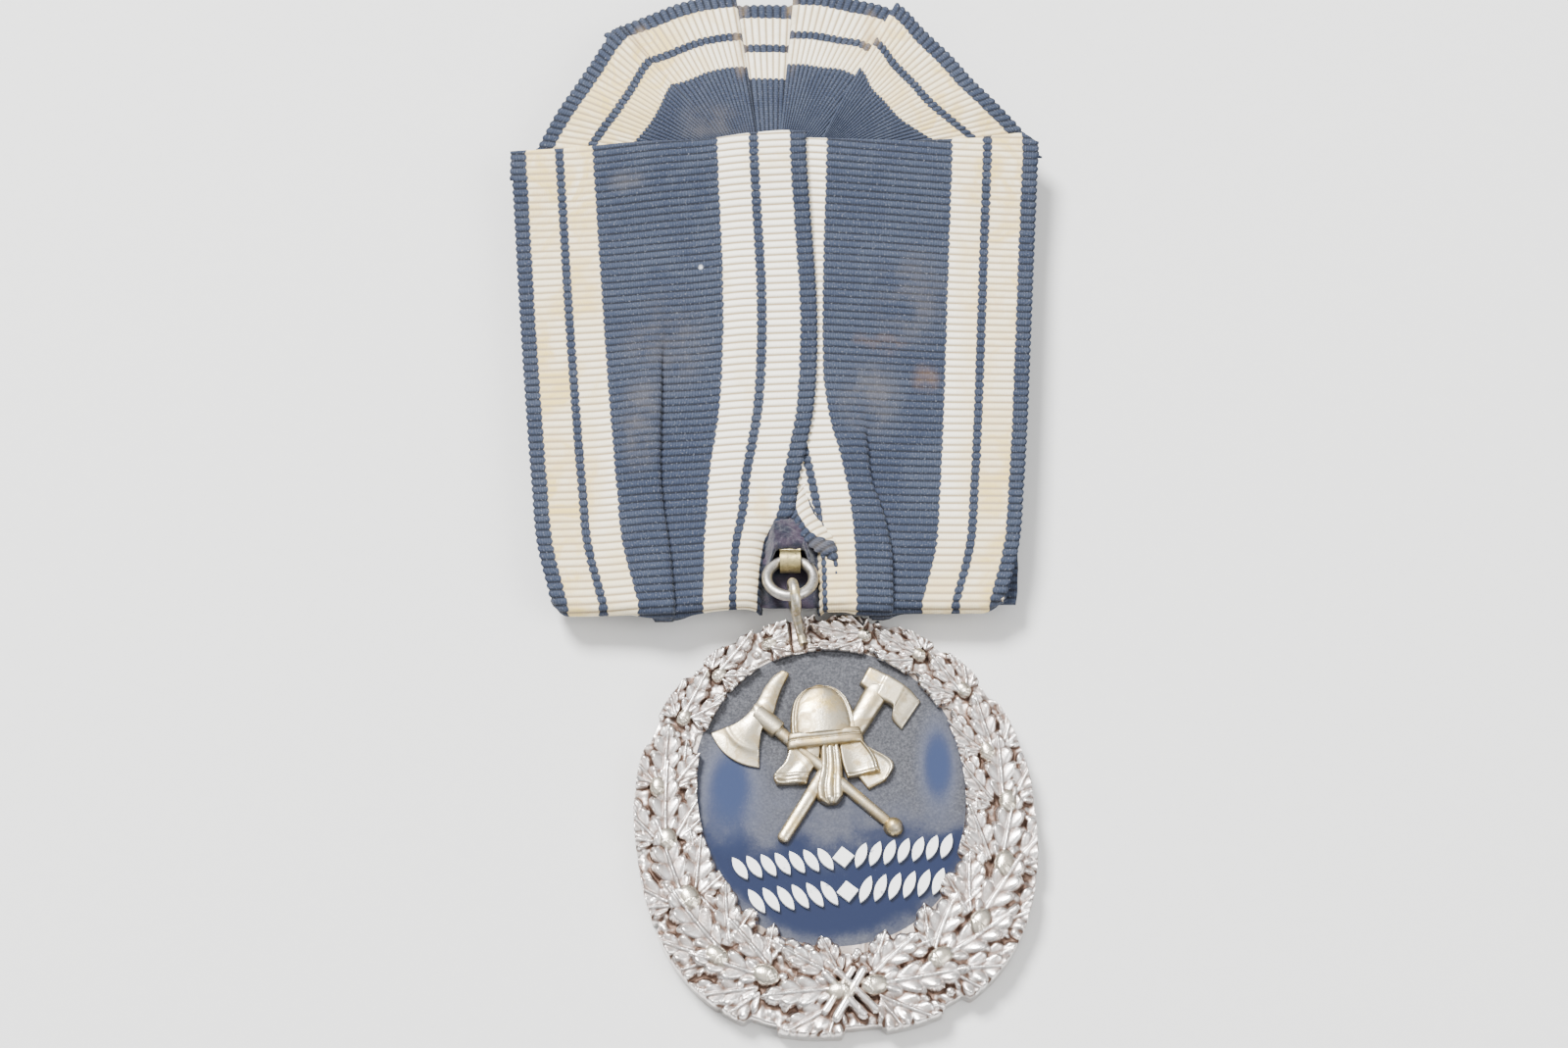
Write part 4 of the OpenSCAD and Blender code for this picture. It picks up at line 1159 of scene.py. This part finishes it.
def felt():
    material, tree, shader = newMaterial("darkFelt", {"Roughness": 0.97, "Sheen Weight": 0.3,
                                                      "Sheen Roughness": 0.5, "Specular IOR Level": 0.1})
    place = objectPlace(tree)
    hair, tuft = noise(tree, place, 6500.0, 6.0, 0.8), noise(tree, place, 900.0, 4.0)
    colour = mixColour(tree, mapRange(tree, hair, 0.35, 0.7), (0.018, 0.022, 0.045), (0.075, 0.085, 0.13))
    worn = useGroup(tree, blotch, {"Place": place, "Scale": 150.0, "Level": 0.6, "Softness": 0.25})["Mask"]
    colour = mixColour(tree, calc(tree, "MULTIPLY", worn, 0.5), colour, (0.14, 0.13, 0.13))
    tree.links.new(colour, shader.inputs["Base Color"])
    addBump(tree, shader, calc(tree, "MULTIPLY_ADD", tuft, 0.6, hair), 0.0002, 0.8)
    return material


def threadMaterial():
    material, tree, shader = newMaterial("sewingThread", {"Roughness": 0.7, "Sheen Weight": 0.2})
    place = objectPlace(tree)
    fibre = noise(tree, place, 7000.0, 4.0, 0.7)
    tree.links.new(mixColour(tree, fibre, (0.16, 0.20, 0.30), (0.46, 0.52, 0.64)),
                   shader.inputs["Base Color"])
    addBump(tree, shader, fibre, 0.00008, 0.8)
    return material


backCloth = ribbonMaterial("ribbedBack", fanYellow, [], [(0, 10, 14, 14, 0.3, dust)])
backPiece = addPiece(buildMesh("ribbonBack", *flatPart("ribbon_back_layer", 0.0, 0.12, 41)), backCloth,
                     "bar",
                     ["ribbon_back_layer"])
feltPiece = addPiece(buildMesh("feltLining", *flatPart("back_lining", 0.0, 0.0, 42)), felt(), "bar",
                     ["back_lining"])
addPiece(buildMesh("liningStitches", *joinParts(stitchParts())), threadMaterial(), "bar",
         ["lining_stitches"])
print("back made")


def enamelMaterial():
    # dark glaze: grey dusty bloom towards the top, a painted reflection as a grey band next to the wreath,
    # bluer at the sides, clear at the foot
    material, tree, shader = newMaterial("darkEnamel", {"Specular IOR Level": 0.35})
    place = objectPlace(tree)
    x, y, _ = medal["middle"]
    soft = noise(tree, place, 240.0, 5.0, 0.6)
    grit = noise(tree, place, 5200.0, 5.0, 0.8)
    _, high, _ = splitPlace(tree, place)
    up = mapRange(tree, calc(tree, "MULTIPLY_ADD", soft, 0.010, high), (y + 1) * mm, (y + 10) * mm)
    sides = ellipseMask(tree, place, x - 8.2, y + 2.6, 3.6, 6.4)
    sides = calc(tree, "MAXIMUM", sides, ellipseMask(tree, place, x + 8.2, y + 4.4, 2.4, 6.0))
    # painted reflection: a grey band round the field's rim, next to the wreath
    ring = calc(tree, "SUBTRACT", 1.0, ellipseMask(tree, place, x, y + medal["fieldUp"], 12.6, 13.6))
    ring = mapRange(tree, calc(tree, "MULTIPLY_ADD", soft, 0.3, ring), 0.98, 1.22, 0.0, 0.8)
    # the grey is dusty bloom towards the top and painted reflection at the rim
    bloomAndReflection = calc(tree, "MAXIMUM", calc(tree, "MULTIPLY", up, calc(tree, "SUBTRACT", 1.0, sides)), ring)
    blue = mixColour(tree, sides, (0.010, 0.016, 0.044), (0.024, 0.036, 0.085))
    # grey of the dusty bloom and of the painted reflection
    bloomAndReflectionGrey = mixColour(tree, mapRange(tree, grit, 0.35, 0.75), (0.035, 0.036, 0.042), (0.115, 0.118, 0.132))
    colour = mixColour(tree, bloomAndReflection, blue, bloomAndReflectionGrey)
    spark = calc(tree, "MULTIPLY", mapRange(tree, grit, 0.66, 0.78),
                 calc(tree, "MULTIPLY_ADD", bloomAndReflection, 0.5, 0.15))
    tree.links.new(mixColour(tree, spark, colour, (0.62, 0.64, 0.68)), shader.inputs["Base Color"])
    tree.links.new(calc(tree, "MULTIPLY_ADD", bloomAndReflection, 0.80, 0.13), shader.inputs["Roughness"])
    addBump(tree, shader, calc(tree, "MULTIPLY_ADD", grit, 0.4, soft), 0.00004, 0.35)
    return material


def inlayMaterial():
    material, tree, shader = newMaterial("whiteEnamel", {"Specular IOR Level": 0.5})
    place = objectPlace(tree)
    chip = mapRange(tree, noise(tree, place, 1900.0, 5.0, 0.7), 0.60, 0.68)
    tree.links.new(mixColour(tree, chip, (0.86, 0.87, 0.86), (0.30, 0.31, 0.36)),
                   shader.inputs["Base Color"])
    tree.links.new(calc(tree, "MULTIPLY_ADD", chip, 0.4, 0.18), shader.inputs["Roughness"])
    addBump(tree, shader, chip, 0.00005, -0.5)
    return material


def agedMetal(name, bright, dull, dirt, rough, scale=500.0):
    # bright metal gone dull in patches, with fine dirt and faint scratches
    material, tree, shader = newMaterial(name, {"Metallic": 1.0})
    place = objectPlace(tree)
    patch = useGroup(tree, blotch, {"Place": place, "Scale": scale, "Level": 0.5, "Softness": 0.3})["Mask"]
    stretched = addNode(tree, "ShaderNodeMapping", {"Vector": place, "Scale": (1, 14, 6)}).outputs[0]
    scratch, fine = noise(tree, stretched, 900.0, 4.0, 0.7), noise(tree, place, 4800.0, 4.0, 0.7)
    colour = mixColour(tree, patch, bright, dull)
    tree.links.new(mixColour(tree, mapRange(tree, fine, 0.52, 0.74), colour, dirt),
                   shader.inputs["Base Color"])
    tree.links.new(calc(tree, "MULTIPLY_ADD", patch, 0.2, calc(tree, "MULTIPLY_ADD", scratch, 0.16, rough)),
                   shader.inputs["Roughness"])
    addBump(tree, shader, calc(tree, "MULTIPLY_ADD", scratch, 0.5, fine), 0.00002, 0.5)
    return material


def cardMaterial():
    material, tree, shader = newMaterial("rawCard", {"Roughness": 0.9, "Specular IOR Level": 0.2})
    place = objectPlace(tree)
    fibre = noise(tree, place, 3000.0, 5.0, 0.7)
    tree.links.new(mixColour(tree, fibre, (0.36, 0.29, 0.20), (0.60, 0.51, 0.38)),
                   shader.inputs["Base Color"])
    addBump(tree, shader, fibre, 0.00006, 0.6)
    return material


steel = agedMetal("drawnSteel", (0.60, 0.59, 0.57), (0.42, 0.40, 0.37), (0.16, 0.12, 0.09), 0.28)
aged = agedMetal("agedBrass", (0.62, 0.52, 0.26), (0.36, 0.30, 0.15), (0.10, 0.08, 0.05), 0.22, 900.0)
looks = {
    "stiffener_plate": agedMetal(
        "tinPlate", (0.50, 0.50, 0.49), (0.36, 0.35, 0.33), (0.15, 0.11, 0.08), 0.35),
    "card_liner": cardMaterial(),
    "hanger_pin": steel, "needle_rivet": steel, "mounting_rivets": steel, "brooch_needle": steel,
    "hanger_link": aged, "pin_hinge_plate": aged, "pin_catch": aged,
    "suspension_ring": agedMetal(
        "darkSteel", (0.58, 0.56, 0.53), (0.36, 0.34, 0.31), (0.07, 0.055, 0.045), 0.24, 900.0),
    "medal_eye": agedMetal(
        "wornEye", (0.66, 0.63, 0.56), (0.45, 0.38, 0.22), (0.14, 0.11, 0.07), 0.22, 900.0),
    "medal_base_plate": agedMetal(
        "tarnishedBack", (0.44, 0.40, 0.37), (0.24, 0.19, 0.16), (0.10, 0.07, 0.055), 0.38, 260.0),
    "enamel_field": enamelMaterial(),
    "leaf_inlay_upper": inlayMaterial(),
}
looks["leaf_inlay_lower"] = looks["leaf_inlay_upper"]
for node, look in looks.items():
    frame["nodes"][node].data.materials.clear()
    frame["nodes"][node].data.materials.append(look)
print("metals and enamel made")


studio = {
    "target": (0, -1.6, 0),
    "distance": 302,
    "tilt": 23,             # degrees off the vertical
    "lens": 85,
    "sensor": 36,
    "floor": (0.70, 0.70, 0.69),
    "horizon": (0.20, 0.21, 0.23),
    "sky": 1.45,            # strength of the light from overhead
}
lights = {
    # place in m, size in m, power in W; each faces the origin
    "keyLight": ((-0.35, 0.45, 0.8), 0.35, 29),
    "fillLight": ((0.6, -0.3, 0.7), 0.6, 6),
}


def addCamera():
    tilt = math.radians(studio["tilt"])
    camera = bpy.data.objects.new("camera", bpy.data.cameras.new("camera"))
    bpy.context.scene.collection.objects.link(camera)
    back = Vector((0, -math.sin(tilt), math.cos(tilt)))
    camera.location = (Vector(studio["target"]) + back * studio["distance"]) * mm
    camera.rotation_euler = (tilt, 0, 0)
    camera.data.lens = studio["lens"]
    camera.data.sensor_width = studio["sensor"]
    camera.data.clip_start = 0.01
    bpy.context.scene.camera = camera


def addFloor():
    material, tree, shader = newMaterial("paleFloor", {"Roughness": 0.9})
    grain = noise(tree, objectPlace(tree), 900.0, 4.0)
    tree.links.new(mixColour(tree, grain, studio["floor"], tuple(0.95 * c for c in studio["floor"])),
                   shader.inputs["Base Color"])
    mesh = bpy.data.meshes.new("floor")
    mesh.from_pydata([(-3, -3, 0), (3, -3, 0), (3, 3, 0), (-3, 3, 0)], [], [(0, 1, 2, 3)])
    floor = bpy.data.objects.new("floor", mesh)
    mesh.materials.append(material)
    bpy.context.scene.collection.objects.link(floor)


def addLight(name, place, size, power):
    light = bpy.data.lights.new(name, "AREA")
    light.shape, light.size, light.energy = "DISK", size, power
    lamp = bpy.data.objects.new(name, light)
    lamp.location = place
    lamp.rotation_euler = (-Vector(place)).to_track_quat("-Z", "Y").to_euler()
    bpy.context.scene.collection.objects.link(lamp)


def addWorld():
    # brightest overhead, dim near the horizon, so that polished metal shows its shape
    world = bpy.data.worlds.new("studio")
    world.use_nodes = True
    tree = world.node_tree
    way = tree.nodes.new("ShaderNodeTexCoord").outputs["Generated"]
    up = splitPlace(tree, way)[2]
    sky = mixColour(tree, mapRange(tree, up, 0.05, 0.95), studio["horizon"], (1.0, 1.0, 1.0))
    tree.links.new(sky, tree.nodes["Background"].inputs["Color"])
    tree.nodes["Background"].inputs["Strength"].default_value = studio["sky"]
    bpy.context.scene.world = world


addCamera()
addFloor()
addWorld()
for name, (spot, wide, power) in lights.items():
    addLight(name, spot, wide, power)
